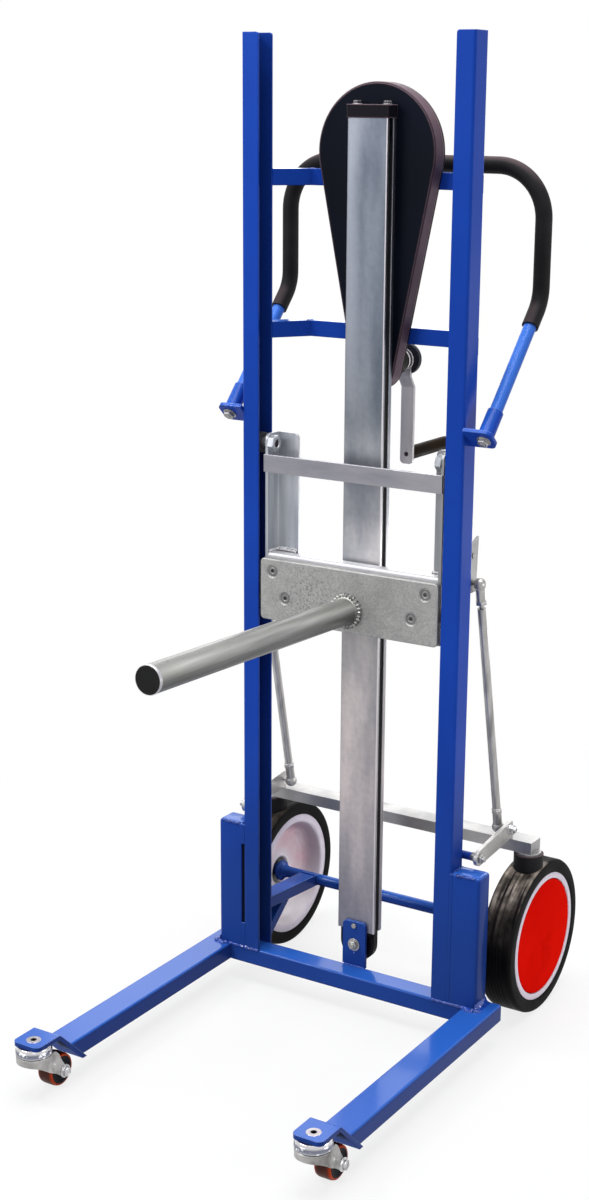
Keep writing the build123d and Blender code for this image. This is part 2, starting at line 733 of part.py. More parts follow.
# Column bolts: two in the cap, the foot screw and the idler's bolt
FOOT_FRONT = COL_FRONT - FOOT_T
with BuildPart() as column_bolts:
    for side in (1, -1):
        with BuildSketch(Plane.XY.offset(COL_TOP)):
            with Locations((side * CAP_BOLT_X, COL_MID)):
                Circle(4)
        extrude(amount=CAP_H)
        with BuildSketch(Plane.XY.offset(COL_TOP + CAP_H)):
            with Locations((side * CAP_BOLT_X, COL_MID)):
                RegularPolygon(7.5, 6)
        extrude(amount=6)
    with BuildSketch(xz(FOOT_FRONT)):
        with Locations((0, FOOT_TOP - 7)):
            Circle(3)
    extrude(amount=-FOOT_T - COL_WALL)
    with BuildSketch(xz(FOOT_FRONT)):
        with Locations((0, FOOT_TOP - 7)):
            Circle(4.5)
    extrude(amount=3)
    with BuildSketch(xz(FOOT_FRONT)):
        with Locations((0, IDLER_Z)):
            Circle(IDLER_BOLT_R)
    extrude(amount=FOOT_FRONT - BELT_BACK - 3)
    with BuildSketch(xz(FOOT_FRONT)):
        with Locations((0, IDLER_Z)):
            Circle(11)
    extrude(amount=1.5)
    with BuildSketch(xz(FOOT_FRONT - 1.5)):
        with Locations((0, IDLER_Z)):
            RegularPolygon(8, 6)
    extrude(amount=5)
    with BuildSketch(xz(COL_FRONT)):
        with Locations((0, IDLER_Z)):
            Circle(IDLER_BOLT_R + 3)
    extrude(amount=COL_FRONT - BELT_FRONT + GAP)
    with BuildSketch(xz(BELT_BACK + GAP)):
        with Locations((0, IDLER_Z)):
            Circle(IDLER_BOLT_R + 3)
    extrude(amount=-3 + GAP)

# Belt loop and the pulleys it runs on
with BuildPart() as lifting_belt:
    with BuildSketch(xz(BELT_FRONT)):
        with Locations((0, (TOP_Z + IDLER_Z) / 2)):
            SlotCenterToCenter(TOP_Z - IDLER_Z, 2 * (BELT_R + BELT_T), rotation=90)
            SlotCenterToCenter(TOP_Z - IDLER_Z, 2 * BELT_R, rotation=90, mode=Mode.SUBTRACT)
    extrude(amount=BELT_FRONT - BELT_BACK)

with BuildPart() as idler_pulley:
    with BuildSketch(xz(BELT_FRONT)):
        with Locations((0, IDLER_Z)):
            Circle(BELT_R - GAP)
            Circle(IDLER_BOLT_R + RUN, mode=Mode.SUBTRACT)
    extrude(amount=BELT_FRONT - BELT_BACK)

with BuildPart() as top_pulley:
    with BuildSketch(xz(BELT_FRONT)):
        with Locations((0, TOP_Z)):
            Circle(BELT_R - GAP)
            Circle(SHAFT_R, mode=Mode.SUBTRACT)
    extrude(amount=BELT_FRONT - BELT_BACK)

# Sprockets on their shafts, and the chain
BIG_BODY = BIG_R - CHAIN_DEEP - GAP
SMALL_BODY = SMALL_R - CHAIN_DEEP - GAP
with BuildPart() as large_sprocket:
    with BuildSketch(xz(BELT_FRONT)):
        with Locations((0, TOP_Z)):
            Circle(SHAFT_R)
    extrude(amount=BELT_FRONT - BASE_PLATE_BACK)
    with BuildSketch(xz(CHAIN_FRONT)):
        with Locations((0, TOP_Z)):
            Circle(BIG_BODY)
        with Locations((0, TOP_Z)):
            with PolarLocations(BIG_BODY * 0.58, 5):
                Circle(BIG_BODY * 0.2, mode=Mode.SUBTRACT)
    extrude(amount=CHAIN_FRONT - CHAIN_BACK)

CRANK_END = CRANK_ARM_Y + CRANK_ARM_T + CRANK_HUB_T
with BuildPart() as crank_shaft:
    with BuildSketch(xz(CHAIN_FRONT - 3)):
        with Locations((0, CRANK_Z)):
            Circle(SHAFT_R)
    extrude(amount=CHAIN_FRONT - 3 - CRANK_END)
    with BuildSketch(xz(CHAIN_FRONT)):
        with Locations((0, CRANK_Z)):
            Circle(SMALL_BODY)
    extrude(amount=CHAIN_FRONT - CHAIN_BACK)


def teardrop(plane, top_r, low_r, mode, depth):
    """Adds or cuts the rounded outline that goes round both sprockets."""
    with BuildSketch(plane) as outline:
        with Locations((0, TOP_Z)):
            Circle(top_r)
        with Locations((0, CRANK_Z)):
            Circle(low_r)
        make_hull()
    extrude(outline.sketch, amount=depth, mode=mode)


with BuildPart() as drive_chain:
    teardrop(xz(CHAIN_FRONT), BIG_R + CHAIN_OUT, SMALL_R + CHAIN_OUT, Mode.ADD, CHAIN_FRONT - CHAIN_BACK)
    teardrop(
        xz(CHAIN_FRONT), BIG_R - CHAIN_DEEP, SMALL_R - CHAIN_DEEP, Mode.SUBTRACT, CHAIN_FRONT - CHAIN_BACK
    )

with BuildPart() as drive_cover:
    teardrop(xz(COL_BACK), COVER_R, COVER_LOW_R, Mode.ADD, COL_BACK - COVER_BACK)
    chamfer(drive_cover.faces().sort_by(Axis.Y)[0].edges(), 2.5)
    teardrop(
        xz(COL_BACK + COVER_WALL),
        COVER_R - COVER_WALL,
        COVER_LOW_R - COVER_WALL,
        Mode.SUBTRACT,
        COL_BACK + COVER_WALL - COVER_BACK,
    )
    with BuildSketch(xz(COL_BACK)):
        with Locations((0, TOP_Z)):
            Circle(SHAFT_R + 1)
        with Locations(*[(0, spot) for spot in SPACER_Z]):
            Circle(SPACER_R)
    extrude(amount=-COVER_WALL, mode=Mode.SUBTRACT)

with BuildPart() as drive_mounting_plate:
    teardrop(xz(COVER_BACK), COVER_R, COVER_LOW_R, Mode.ADD, COVER_BACK - BASE_PLATE_BACK)
    with BuildSketch(xz(COL_BACK)):
        with Locations(*[(0, spot) for spot in SPACER_Z]):
            Circle(SPACER_R)
    extrude(amount=COL_BACK - COVER_BACK)
    with BuildSketch(xz(BASE_PLATE_BACK)):
        with Locations((0, CRANK_Z)):
            Circle(BEARING_R)
    extrude(amount=BASE_PLATE_BACK - BEARING_END)
    with BuildSketch(xz(COVER_BACK)):
        with Locations((0, CRANK_Z), (0, TOP_Z)):
            Circle(SHAFT_R + RUN)
    extrude(amount=COVER_BACK - BEARING_END, mode=Mode.SUBTRACT)

# Crank: load brake discs, arm, hub and a free-turning grip
with BuildPart() as brake_discs:
    for start in (DISC_1, DISC_2):
        with BuildSketch(xz(start)):
            with Locations((0, CRANK_Z)):
                Circle(DISC_R)
                Circle(SHAFT_R, mode=Mode.SUBTRACT)
        extrude(amount=-DISC_T)

with BuildPart() as crank_hub:
    with BuildSketch(xz(DISC_1 + DISC_T)):
        with Locations((0, CRANK_Z)):
            Circle(DISC_R - 2)
            Circle(SHAFT_R, mode=Mode.SUBTRACT)
    extrude(amount=DISC_1 + DISC_T - DISC_2)
    with BuildSketch(xz(DISC_2 + DISC_T)):
        with Locations((0, CRANK_Z)):
            Circle(SHAFT_R + 4)
            Circle(SHAFT_R, mode=Mode.SUBTRACT)
    extrude(amount=DISC_2 + DISC_T - CRANK_ARM_Y)
    with BuildSketch(xz(CRANK_ARM_Y + CRANK_ARM_T)):
        with Locations((0, CRANK_Z)):
            Circle(CRANK_HUB_R)
            Circle(SHAFT_R, mode=Mode.SUBTRACT)
    extrude(amount=-CRANK_HUB_T)

PIN_Z = CRANK_Z - CRANK_RADIUS
JOG_TOP = CRANK_Z - 27.0
JOG_LOW = CRANK_Z - 45.0
LOW_ARM_Y = CRANK_ARM_Y + CRANK_JOG
GRIP_START_Y = LOW_ARM_Y + CRANK_ARM_T + 2
with BuildPart() as crank_arm:
    with BuildSketch(yz(-CRANK_ARM_W / 2)):
        with BuildLine():
            Polyline(
                (CRANK_ARM_Y, CRANK_Z + CRANK_ARM_W / 2),
                (CRANK_ARM_Y + CRANK_ARM_T, CRANK_Z + CRANK_ARM_W / 2),
                (CRANK_ARM_Y + CRANK_ARM_T, JOG_TOP),
                (LOW_ARM_Y + CRANK_ARM_T, JOG_LOW),
                (LOW_ARM_Y + CRANK_ARM_T, PIN_Z - 16),
                (LOW_ARM_Y, PIN_Z - 16),
                (LOW_ARM_Y, JOG_LOW),
                (CRANK_ARM_Y, JOG_TOP),
                close=True,
            )
        make_face()
    extrude(amount=CRANK_ARM_W)
    fillet(crank_arm.edges().filter_by(Axis.Y).group_by(Axis.Z)[0], 7)
    fillet(crank_arm.edges().filter_by(Axis.Y).group_by(Axis.Z)[-1], 11)
    with BuildSketch(xz(CRANK_ARM_Y)):
        with Locations((0, CRANK_Z)):
            Circle(SHAFT_R)
    extrude(amount=-CRANK_ARM_T, mode=Mode.SUBTRACT)
    with BuildSketch(xz(LOW_ARM_Y + CRANK_ARM_T)):
        with Locations((0, PIN_Z)):
            Circle(GRIP_BORE_R)
    extrude(amount=-GRIP_LEN + 3)
    with BuildSketch(xz(LOW_ARM_Y + CRANK_ARM_T)):
        with Locations((0, PIN_Z)):
            Circle(GRIP_BORE_R + 3)
    extrude(amount=-2 + GAP)
    with BuildSketch(xz(LOW_ARM_Y)):
        with Locations((0, PIN_Z)):
            Circle(3)
    extrude(amount=-1, mode=Mode.SUBTRACT)

with BuildPart() as crank_grip:
    with BuildSketch(xz(GRIP_START_Y)):
        with Locations((0, PIN_Z)):
            Circle(GRIP_R)
    extrude(amount=-GRIP_LEN)
    fillet(crank_grip.edges().filter_by(GeomType.CIRCLE), 2)
    with BuildSketch(xz(GRIP_START_Y)):
        with Locations((0, PIN_Z)):
            Circle(GRIP_BORE_R + RUN)
    extrude(amount=-GRIP_LEN + 4, mode=Mode.SUBTRACT)

# Push handle: one bent tube, a long grip, and the lugs that hold it
HANDLE_DIR = Vector(0, HANDLE_BACK_Y - HANDLE_LOW_Y, HANDLE_KNEE_Z - HANDLE_LOW_Z).normalized()
HANDLE_SLOPE = math.degrees(math.atan2(HANDLE_DIR.Z, HANDLE_DIR.Y))
KNEE_TURN = math.radians(90 - HANDLE_SLOPE)
KNEE_CUT = HANDLE_KNEE_R * math.tan(KNEE_TURN / 2)


def handle_path(start):
    """Half of the handle's middle line, from one point on the lower leg up to the middle of the top bar."""
    knee = Vector(HANDLE_X, HANDLE_BACK_Y, HANDLE_KNEE_Z)
    into = knee - HANDLE_DIR * KNEE_CUT
    out = knee + Vector(0, 0, KNEE_CUT)
    crown = Vector(HANDLE_X, HANDLE_BACK_Y, HANDLE_TOP_Z - HANDLE_TOP_R)
    Line(start, into)
    TangentArc(into, out, tangent=HANDLE_DIR)
    Line(out, crown)
    TangentArc(crown, (HANDLE_X - HANDLE_TOP_R, HANDLE_BACK_Y, HANDLE_TOP_Z), tangent=(0, 0, 1))
    Line((HANDLE_X - HANDLE_TOP_R, HANDLE_BACK_Y, HANDLE_TOP_Z), (0, HANDLE_BACK_Y, HANDLE_TOP_Z))


HANDLE_FOOT = Vector(HANDLE_X, HANDLE_LOW_Y, HANDLE_LOW_Z)
HANDLE_RUN = Vector(0, HANDLE_BACK_Y - HANDLE_LOW_Y, HANDLE_KNEE_Z - HANDLE_LOW_Z)
with BuildPart() as push_handle:
    with BuildLine() as tube_line:
        handle_path(HANDLE_FOOT)
    with BuildSketch(Plane(origin=HANDLE_FOOT, z_dir=HANDLE_DIR)):
        Circle(HANDLE_R)
        Circle(HANDLE_R - HANDLE_WALL, mode=Mode.SUBTRACT)
    sweep(path=tube_line.line)
    mirror(about=Plane.YZ)

GRIP_FOOT = HANDLE_FOOT + HANDLE_RUN * GRIP_START
with BuildPart() as handle_grip:
    with BuildLine() as grip_line:
        handle_path(GRIP_FOOT)
    with BuildSketch(Plane(origin=GRIP_FOOT, z_dir=HANDLE_DIR)):
        Circle(HANDLE_GRIP_R)
        Circle(HANDLE_R, mode=Mode.SUBTRACT)
    sweep(path=grip_line.line)
    mirror(about=Plane.YZ)

LUG_PLANE = Plane(origin=HANDLE_FOOT, x_dir=(1, 0, 0), z_dir=HANDLE_DIR)
LUG_SHIFT = MAST_OUT + LUG_W / 2 - HANDLE_X
with BuildPart() as handle_brackets:
    with BuildSketch(LUG_PLANE):
        with Locations((LUG_SHIFT, 0)):
            Rectangle(LUG_W, LUG_L)
    extrude(amount=-LUG_T)
    fillet(handle_brackets.edges().filter_by(Axis((0, 0, 0), tuple(HANDLE_DIR))).group_by(Axis.X)[-1], 11)
    with BuildSketch(LUG_PLANE):
        Circle(SOCKET_R)
        Circle(HANDLE_R, mode=Mode.SUBTRACT)
    extrude(amount=SOCKET_L)
    with BuildSketch(LUG_PLANE):
        Circle(5)
    extrude(amount=-LUG_T, mode=Mode.SUBTRACT)
    mirror(about=Plane.YZ)

with BuildPart() as handle_bolts:
    with BuildSketch(LUG_PLANE.offset(-LUG_T)):
        Circle(5)
    extrude(amount=LUG_T + 18)
    with BuildSketch(LUG_PLANE.offset(1)):
        Circle(HANDLE_R - HANDLE_WALL)
    extrude(amount=14)
    with BuildSketch(LUG_PLANE.offset(-LUG_T)):
        Circle(11)
    extrude(amount=-1.5)
    with BuildSketch(LUG_PLANE.offset(-LUG_T - 1.5)):
        RegularPolygon(9, 6)
    extrude(amount=-6)
    mirror(about=Plane.YZ)

# Carriage
def carriage_angle(flange):
    """An upright angle of the carriage on the right, its back flange reaching in by the given width."""
    with BuildPart() as made:
        with BuildSketch(yz(ANGLE_OUT - ANGLE_T)):
            with Locations(((PLATE_BACK + ANGLE_BACK) / 2, (BOOM_PLATE_LOW + ANGLE_TOP) / 2)):
                Rectangle(ANGLE_BACK - PLATE_BACK, ANGLE_TOP - BOOM_PLATE_LOW)
        extrude(amount=ANGLE_T)
        with BuildSketch(xz(ANGLE_BACK)):
            with Locations((ANGLE_OUT - flange / 2, (BOOM_PLATE_LOW + ANGLE_TOP) / 2)):
                Rectangle(flange, ANGLE_TOP - BOOM_PLATE_LOW)
        extrude(amount=ANGLE_BACK_T)
        fillet(made.edges().filter_by(Axis.Y).group_by(Axis.Z)[-1].group_by(Axis.X)[0], 9)
        fillet(made.edges().filter_by(Axis.X).group_by(Axis.Z)[-1].group_by(Axis.Y)[0], 9)
        with BuildSketch(yz(ANGLE_OUT - ANGLE_T)):
            with Locations(*[(ROLLER_Y, height) for height in ROLLER_Z]):
                Circle(ROLLER_PIN_R)
        extrude(amount=ANGLE_T, mode=Mode.SUBTRACT)
    return made.part


with BuildPart() as carriage_angles:
    add(carriage_angle(ANGLE_FLANGE_RIGHT))
    mirror(carriage_angle(ANGLE_FLANGE_LEFT), about=Plane.YZ)

with BuildPart() as carriage_upper_bar:
    with BuildSketch(xz(PLATE_BACK)):
        with Locations((0, (BAR_LOW + BAR_TOP) / 2)):
            Rectangle(2 * BAR_X, BAR_TOP - BAR_LOW)
    extrude(amount=BAR_T)

MEMBER_H = BOOM_PLATE_TOP + MEMBER_RISE - BOOM_PLATE_LOW - 4
with BuildPart() as carriage_cross_member:
    with BuildSketch(yz(-ANGLE_OUT + ANGLE_T)):
        with Locations((PLATE_BACK + MEMBER_D / 2, (BOOM_PLATE_LOW + BOOM_PLATE_TOP + MEMBER_RISE) / 2)):
            RectangleRounded(MEMBER_D, MEMBER_H, 5)
            Rectangle(MEMBER_D - 2 * MEMBER_WALL, MEMBER_H - 2 * MEMBER_WALL, mode=Mode.SUBTRACT)
    extrude(amount=2 * (ANGLE_OUT - ANGLE_T))
    with BuildSketch(xz(PLATE_BACK)):
        for spot_x, spot_z in SCREW_SPOTS:
            with Locations((spot_x, spot_z), (-spot_x, spot_z)):
                Circle(SCREW_R)
    extrude(amount=-MEMBER_WALL, mode=Mode.SUBTRACT)

with BuildPart() as boom_plate:
    with BuildSketch(xz(PLATE_BACK)):
        with Locations((0, (BOOM_PLATE_LOW + BOOM_PLATE_TOP) / 2)):
            RectangleRounded(2 * BOOM_PLATE_X, BOOM_PLATE_TOP - BOOM_PLATE_LOW, 7)
    extrude(amount=BOOM_PLATE_T)
    fillet(boom_plate.faces().sort_by(Axis.Y)[0].edges(), 2)
    for spot_x, spot_z in SCREW_SPOTS:
        for side in (1, -1):
            with BuildSketch(lying(PLATE_FRONT, spot_z)):
                with Locations((side * spot_x, 0)):
                    Circle(SCREW_R)
            extrude(amount=-BOOM_PLATE_T, mode=Mode.SUBTRACT)
            with BuildSketch(lying(PLATE_FRONT, spot_z)):
                with Locations((side * spot_x, 0)):
                    Circle(SCREW_HEAD_R)
            extrude(amount=-SCREW_HEAD_R + SCREW_R, taper=45, mode=Mode.SUBTRACT)

with BuildPart() as boom_plate_screws:
    for spot_x, spot_z in SCREW_SPOTS:
        for side in (1, -1):
            with BuildSketch(lying(PLATE_FRONT, spot_z)):
                with Locations((side * spot_x, 0)):
                    Circle(SCREW_R)
            extrude(amount=-BOOM_PLATE_T - MEMBER_WALL)
            with BuildSketch(lying(PLATE_FRONT, spot_z)):
                with Locations((side * spot_x, 0)):
                    Circle(SCREW_HEAD_R)
            extrude(amount=-SCREW_HEAD_R + SCREW_R, taper=45)
            with BuildSketch(lying(PLATE_FRONT, spot_z)):
                with Locations((side * spot_x, 0)):
                    RegularPolygon(3.4, 6)
            extrude(amount=-3, mode=Mode.SUBTRACT)

# Boom: a tube that tilts up a little, with the weld round its root and an end plug
BOOM_DIR = Vector(0, -math.cos(math.radians(BOOM_TILT)), math.sin(math.radians(BOOM_TILT)))
BOOM_ROOT = Vector(0, PLATE_FRONT, BOOM_Z)
BOOM_PLANE = Plane(origin=BOOM_ROOT, x_dir=(1, 0, 0), z_dir=BOOM_DIR)
with BuildPart() as boom_tube:
    with BuildSketch(BOOM_PLANE.offset(-5)):
        Circle(BOOM_R)
        Circle(BOOM_R - BOOM_WALL, mode=Mode.SUBTRACT)
    extrude(amount=BOOM_L + 5)
    with BuildSketch(BOOM_PLANE.offset(-5)):
        Circle(BOOM_R + WELD)
        Circle(BOOM_R - BOOM_WALL, mode=Mode.SUBTRACT)
    extrude(amount=WELD_FOOT + 5)
    with BuildSketch(Plane(origin=BOOM_ROOT, x_dir=(1, 0, 0), z_dir=BOOM_PLANE.y_dir)):
        with BuildLine():
            Polyline(
                (BOOM_R - 0.5, -WELD_FOOT),
                (BOOM_R + WELD, -WELD_FOOT),
                (BOOM_R, -WELD_FOOT - WELD),
                (BOOM_R - 0.5, -WELD_FOOT - WELD),
                close=True,
            )
        make_face()
    revolve(axis=Axis(BOOM_ROOT, BOOM_DIR))
    split(bisect_by=xz(PLATE_FRONT), keep=Keep.TOP)

with BuildPart() as boom_end_plug:
    with BuildSketch(BOOM_PLANE.offset(BOOM_L)):
        Circle(BOOM_R)
    extrude(amount=PLUG_T)
    fillet(boom_end_plug.faces().sort_by(Axis.Y)[0].edges(), 1.2)
    with BuildSketch(BOOM_PLANE.offset(BOOM_L)):
        Circle(BOOM_R - BOOM_WALL)
    extrude(amount=-PLUG_IN)

# Roller axles with a nut on each inner end, and the rollers
with BuildPart() as roller_axles:
    for height in ROLLER_Z:
        with BuildSketch(yz(ANGLE_OUT - ANGLE_T)):
            with Locations((ROLLER_Y, height)):
                Circle(ROLLER_PIN_R)
        extrude(amount=ROLLER_OUT + 1 - ANGLE_OUT + ANGLE_T)
        with BuildSketch(yz(ANGLE_OUT)):
            with Locations((ROLLER_Y, height)):
                Circle(ROLLER_PIN_R + 3)
        extrude(amount=ROLLER_IN - GAP - ANGLE_OUT)
        with BuildSketch(yz(ROLLER_OUT + GAP)):
            with Locations((ROLLER_Y, height)):
                Circle(ROLLER_PIN_R + 3)
        extrude(amount=2)
    with BuildSketch(yz(ANGLE_OUT - ANGLE_T)):
        with Locations((ROLLER_Y, ROLLER_Z[0])):
            RegularPolygon(10.5, 6)
    extrude(amount=-9)
    mirror(about=Plane.YZ)


def roller_pair(height):
    """Two rollers on one line, one in each mast."""
    with BuildPart() as made:
        with BuildSketch(yz(ROLLER_IN)):
            with Locations((ROLLER_Y, height)):
                Circle(ROLLER_R)
                Circle(ROLLER_PIN_R + RUN, mode=Mode.SUBTRACT)
        extrude(amount=ROLLER_OUT - ROLLER_IN)
        mirror(about=Plane.YZ)
    return made


upper_rollers = roller_pair(ROLLER_Z[0])
lower_rollers = roller_pair(ROLLER_Z[1])

# Clamp that ties the carriage to the right run of the belt, reaching in by the column's side slot
CLAMP_IN = BELT_R + BELT_T + GAP
MEMBER_BACK = PLATE_BACK + MEMBER_D
with BuildPart() as belt_clamp:
    with BuildSketch(Plane.XY.offset(CLAMP_LOW)):
        with BuildLine():
            Polyline(
                (CLAMP_IN, SLOT_FRONT + 1),
                (CLAMP_X - 6, SLOT_FRONT + 1),
                (CLAMP_X - 6, MEMBER_BACK),
                (CLAMP_X, MEMBER_BACK),
                (CLAMP_X, SLOT_BACK - 1),
                (CLAMP_IN, SLOT_BACK - 1),
                close=True,
            )
        make_face()
    extrude(amount=CLAMP_TOP - CLAMP_LOW)

# Wheel brake
with BuildPart() as brake_pivot_pins:
    with BuildSketch(yz(MAST_IN + 19)):
        with Locations((BRAKE_Y, BRAKE_Z)):
            Circle(BRAKE_PIN_R)
    extrude(amount=BRAKE_ARM_IN - 8 - GAP - MAST_IN - 19)
    with BuildSketch(yz(BRAKE_ARM_IN - 8 - GAP)):
        with Locations((BRAKE_Y, BRAKE_Z)):
            Circle(BRAKE_STUD_R)
    extrude(amount=BRAKE_ARM_T + 8 + 9)
    mirror(about=Plane.YZ)

with BuildPart() as brake_pivot_nuts:
    with BuildSketch(yz(BRAKE_ARM_IN - GAP - 8), yz(BRAKE_ARM_IN + BRAKE_ARM_T + GAP)):
        with Locations((BRAKE_Y, BRAKE_Z)):
            RegularPolygon(10.5, 6)
            Circle(BRAKE_STUD_R, mode=Mode.SUBTRACT)
    extrude(amount=8)
    mirror(about=Plane.YZ)

PAD_Y = BRAKE_BAR_FRONT + BRAKE_BAR_D / 2
PAD_TOP = BRAKE_BAR_LOW - PAD_WASHER_T
with BuildPart() as brake_bar:
    with BuildSketch(yz(-BRAKE_BAR_X)):
        with Locations((PAD_Y, BRAKE_BAR_LOW + BRAKE_BAR_H / 2)):
            Rectangle(BRAKE_BAR_D, BRAKE_BAR_H)
            Rectangle(BRAKE_BAR_D - 6, BRAKE_BAR_H - 6, mode=Mode.SUBTRACT)
    extrude(amount=2 * BRAKE_BAR_X)
    with BuildSketch(yz(-BRAKE_BAR_X), yz(BRAKE_BAR_X - TUBE_WALL)):
        with Locations((PAD_Y, BRAKE_BAR_LOW + BRAKE_BAR_H / 2)):
            Rectangle(BRAKE_BAR_D - 6, BRAKE_BAR_H - 6)
    extrude(amount=TUBE_WALL)
    with BuildSketch(Plane.XY.offset(PAD_TOP)):
        with Locations((PAD_X, PAD_Y), (-PAD_X, PAD_Y)):
            Circle(PAD_R - 4)
    extrude(amount=PAD_WASHER_T)

with BuildPart() as brake_pads:
    with BuildSketch(Plane.XY.offset(PAD_TOP)):
        with Locations((PAD_X, PAD_Y)):
            Circle(PAD_R)
    extrude(amount=-PAD_R - PAD_WASHER_T)
    with BuildSketch(yz(PAD_X - 2 * PAD_R)):
        with Locations((WHEEL_Y, WHEEL_R)):
            Circle(WHEEL_R + GAP + 0.1)
    extrude(amount=4 * PAD_R, mode=Mode.SUBTRACT)
    mirror(about=Plane.YZ)

BRAKE_BAR_TOP = BRAKE_BAR_LOW + BRAKE_BAR_H
with BuildPart() as brake_arms:
    with BuildSketch(yz(BRAKE_ARM_IN)):
        with Locations((BRAKE_Y, BRAKE_Z)):
            Circle(BRAKE_ARM_R)
        with BuildLine():
            Polyline(
                (BRAKE_Y - 2, BRAKE_Z + BRAKE_ARM_R - 0.2),
                (BRAKE_BAR_FRONT + 3, BRAKE_BAR_TOP + 31),
                (BRAKE_BAR_FRONT + 8, BRAKE_BAR_TOP + 28),
                (BRAKE_BAR_FRONT + 9, BRAKE_BAR_TOP),
                (BRAKE_BAR_FRONT, BRAKE_BAR_TOP),
                (BRAKE_Y + 2, BRAKE_Z - BRAKE_ARM_R + 0.2),
                close=True,
            )
        make_face()
        with Locations((BRAKE_Y, BRAKE_Z)):
            Circle(BRAKE_STUD_R + RUN, mode=Mode.SUBTRACT)
    extrude(amount=BRAKE_ARM_T)
    with BuildSketch(yz(BALL_X)):
        with Locations((BALL_LOW_Y, BALL_LOW_Z)):
            Circle(3)
    extrude(amount=BRAKE_ARM_IN - BALL_X)
    with Locations((BALL_X, BALL_LOW_Y, BALL_LOW_Z)):
        Sphere(BALL_R, rotation=(0, 0, 180))
    with BuildSketch(yz(BRAKE_ARM_IN + BRAKE_ARM_T)):
        with Locations((BALL_LOW_Y, BALL_LOW_Z)):
            RegularPolygon(7.5, 6)
    extrude(amount=6)
    with BuildSketch(yz(BRAKE_ARM_IN + BRAKE_ARM_T + 6)):
        with Locations((BALL_LOW_Y, BALL_LOW_Z)):
            Circle(3.5)
    extrude(amount=3)
    mirror(about=Plane.YZ)

# Brackets on the masts that hold the upper ball of each gas spring
BRACKET_X = 186.0
BRACKET_T = 4.0
with BuildPart() as spring_brackets:
    with BuildSketch(yz(BRACKET_X)):
        with BuildLine():
            Polyline(
                (MAST_BACK, BALL_TOP_Z - 14),
                (BALL_TOP_Y + 9, BALL_TOP_Z - 14),
                (BALL_TOP_Y + 14, BALL_TOP_Z + 72),
                (MAST_BACK, BALL_TOP_Z + 58),
                close=True,
            )
        make_face()
    extrude(amount=BRACKET_T)
    with BuildSketch(xz(MAST_BACK)):
        with Locations((MAST_IN + 12, BALL_TOP_Z + 30)):
            Rectangle(18, 50)
    extrude(amount=-BRACKET_T)
    with BuildSketch(yz(BRACKET_X + BRACKET_T)):
        with Locations((BALL_TOP_Y - 6, BALL_TOP_Z + 45)):
            Circle(4.5)
    extrude(amount=3)
    with BuildSketch(yz(BRACKET_X)):
        with Locations((BALL_TOP_Y, BALL_TOP_Z)):
            Circle(3)
    extrude(amount=BALL_X - BRACKET_X)
    with Locations((BALL_X, BALL_TOP_Y, BALL_TOP_Z)):
        Sphere(BALL_R)
    mirror(about=Plane.YZ)

# Gas springs: the tube ends in the lower ball socket, the rod in the upper one
SPRING_LOW = Vector(BALL_X, BALL_LOW_Y, BALL_LOW_Z)
SPRING_HIGH = Vector(BALL_X, BALL_TOP_Y, BALL_TOP_Z)
SPRING_LEN = (SPRING_HIGH - SPRING_LOW).length
SPRING_DIR = (SPRING_HIGH - SPRING_LOW).normalized()
SPRING_PLANE = Plane(origin=SPRING_LOW, x_dir=(1, 0, 0), z_dir=SPRING_DIR)
TUBE_END = SPRING_LEN - SPRING_FITTING_L - SPRING_NECK
with BuildPart() as spring_cylinders:
    with BuildSketch(SPRING_PLANE):
        Circle(SPRING_FITTING_R)
    extrude(amount=SPRING_FITTING_L + 2)
    with BuildSketch(SPRING_PLANE.offset(SPRING_FITTING_L)):
        Circle(SPRING_TUBE_R)
    extrude(amount=TUBE_END - SPRING_FITTING_L)
    with BuildSketch(SPRING_PLANE.offset(SPRING_FITTING_L + 12)):
        Circle(SPRING_BORE_R)
    extrude(amount=TUBE_END - SPRING_FITTING_L - 24, mode=Mode.SUBTRACT)
    with BuildSketch(SPRING_PLANE.offset(TUBE_END - 14)):
        Circle(SPRING_ROD_R + RUN)
    extrude(amount=14, mode=Mode.SUBTRACT)
    with Locations(SPRING_LOW):
        Sphere(BALL_SOCKET_R, rotation=(0, 0, 180))
    with Locations(SPRING_LOW):
        Sphere(BALL_R + GAP, rotation=(0, 0, 180), mode=Mode.SUBTRACT)
    with BuildSketch(yz(BALL_X)):
        with Locations((BALL_LOW_Y, BALL_LOW_Z)):
            Circle(4)
    extrude(amount=BALL_SOCKET_R + 1, mode=Mode.SUBTRACT)
    mirror(about=Plane.YZ)

with BuildPart() as spring_rods:
    with BuildSketch(SPRING_PLANE.offset(TUBE_END - 60)):
        Circle(SPRING_ROD_R)
    extrude(amount=60 + SPRING_NECK + 2)
    with BuildSketch(SPRING_PLANE.offset(TUBE_END - 60)):
        Circle(SPRING_BORE_R - RUN)
    extrude(amount=8)
    with BuildSketch(SPRING_PLANE.offset(SPRING_LEN - SPRING_FITTING_L)):
        Circle(SPRING_FITTING_R)
    extrude(amount=SPRING_FITTING_L)
    with Locations(SPRING_HIGH):
        Sphere(BALL_SOCKET_R)
    with Locations(SPRING_HIGH):
        Sphere(BALL_R + GAP, mode=Mode.SUBTRACT)
    with BuildSketch(yz(BALL_X)):
        with Locations((BALL_TOP_Y, BALL_TOP_Z)):
            Circle(4)
    extrude(amount=-BALL_SOCKET_R - 1, mode=Mode.SUBTRACT)
    mirror(about=Plane.YZ)

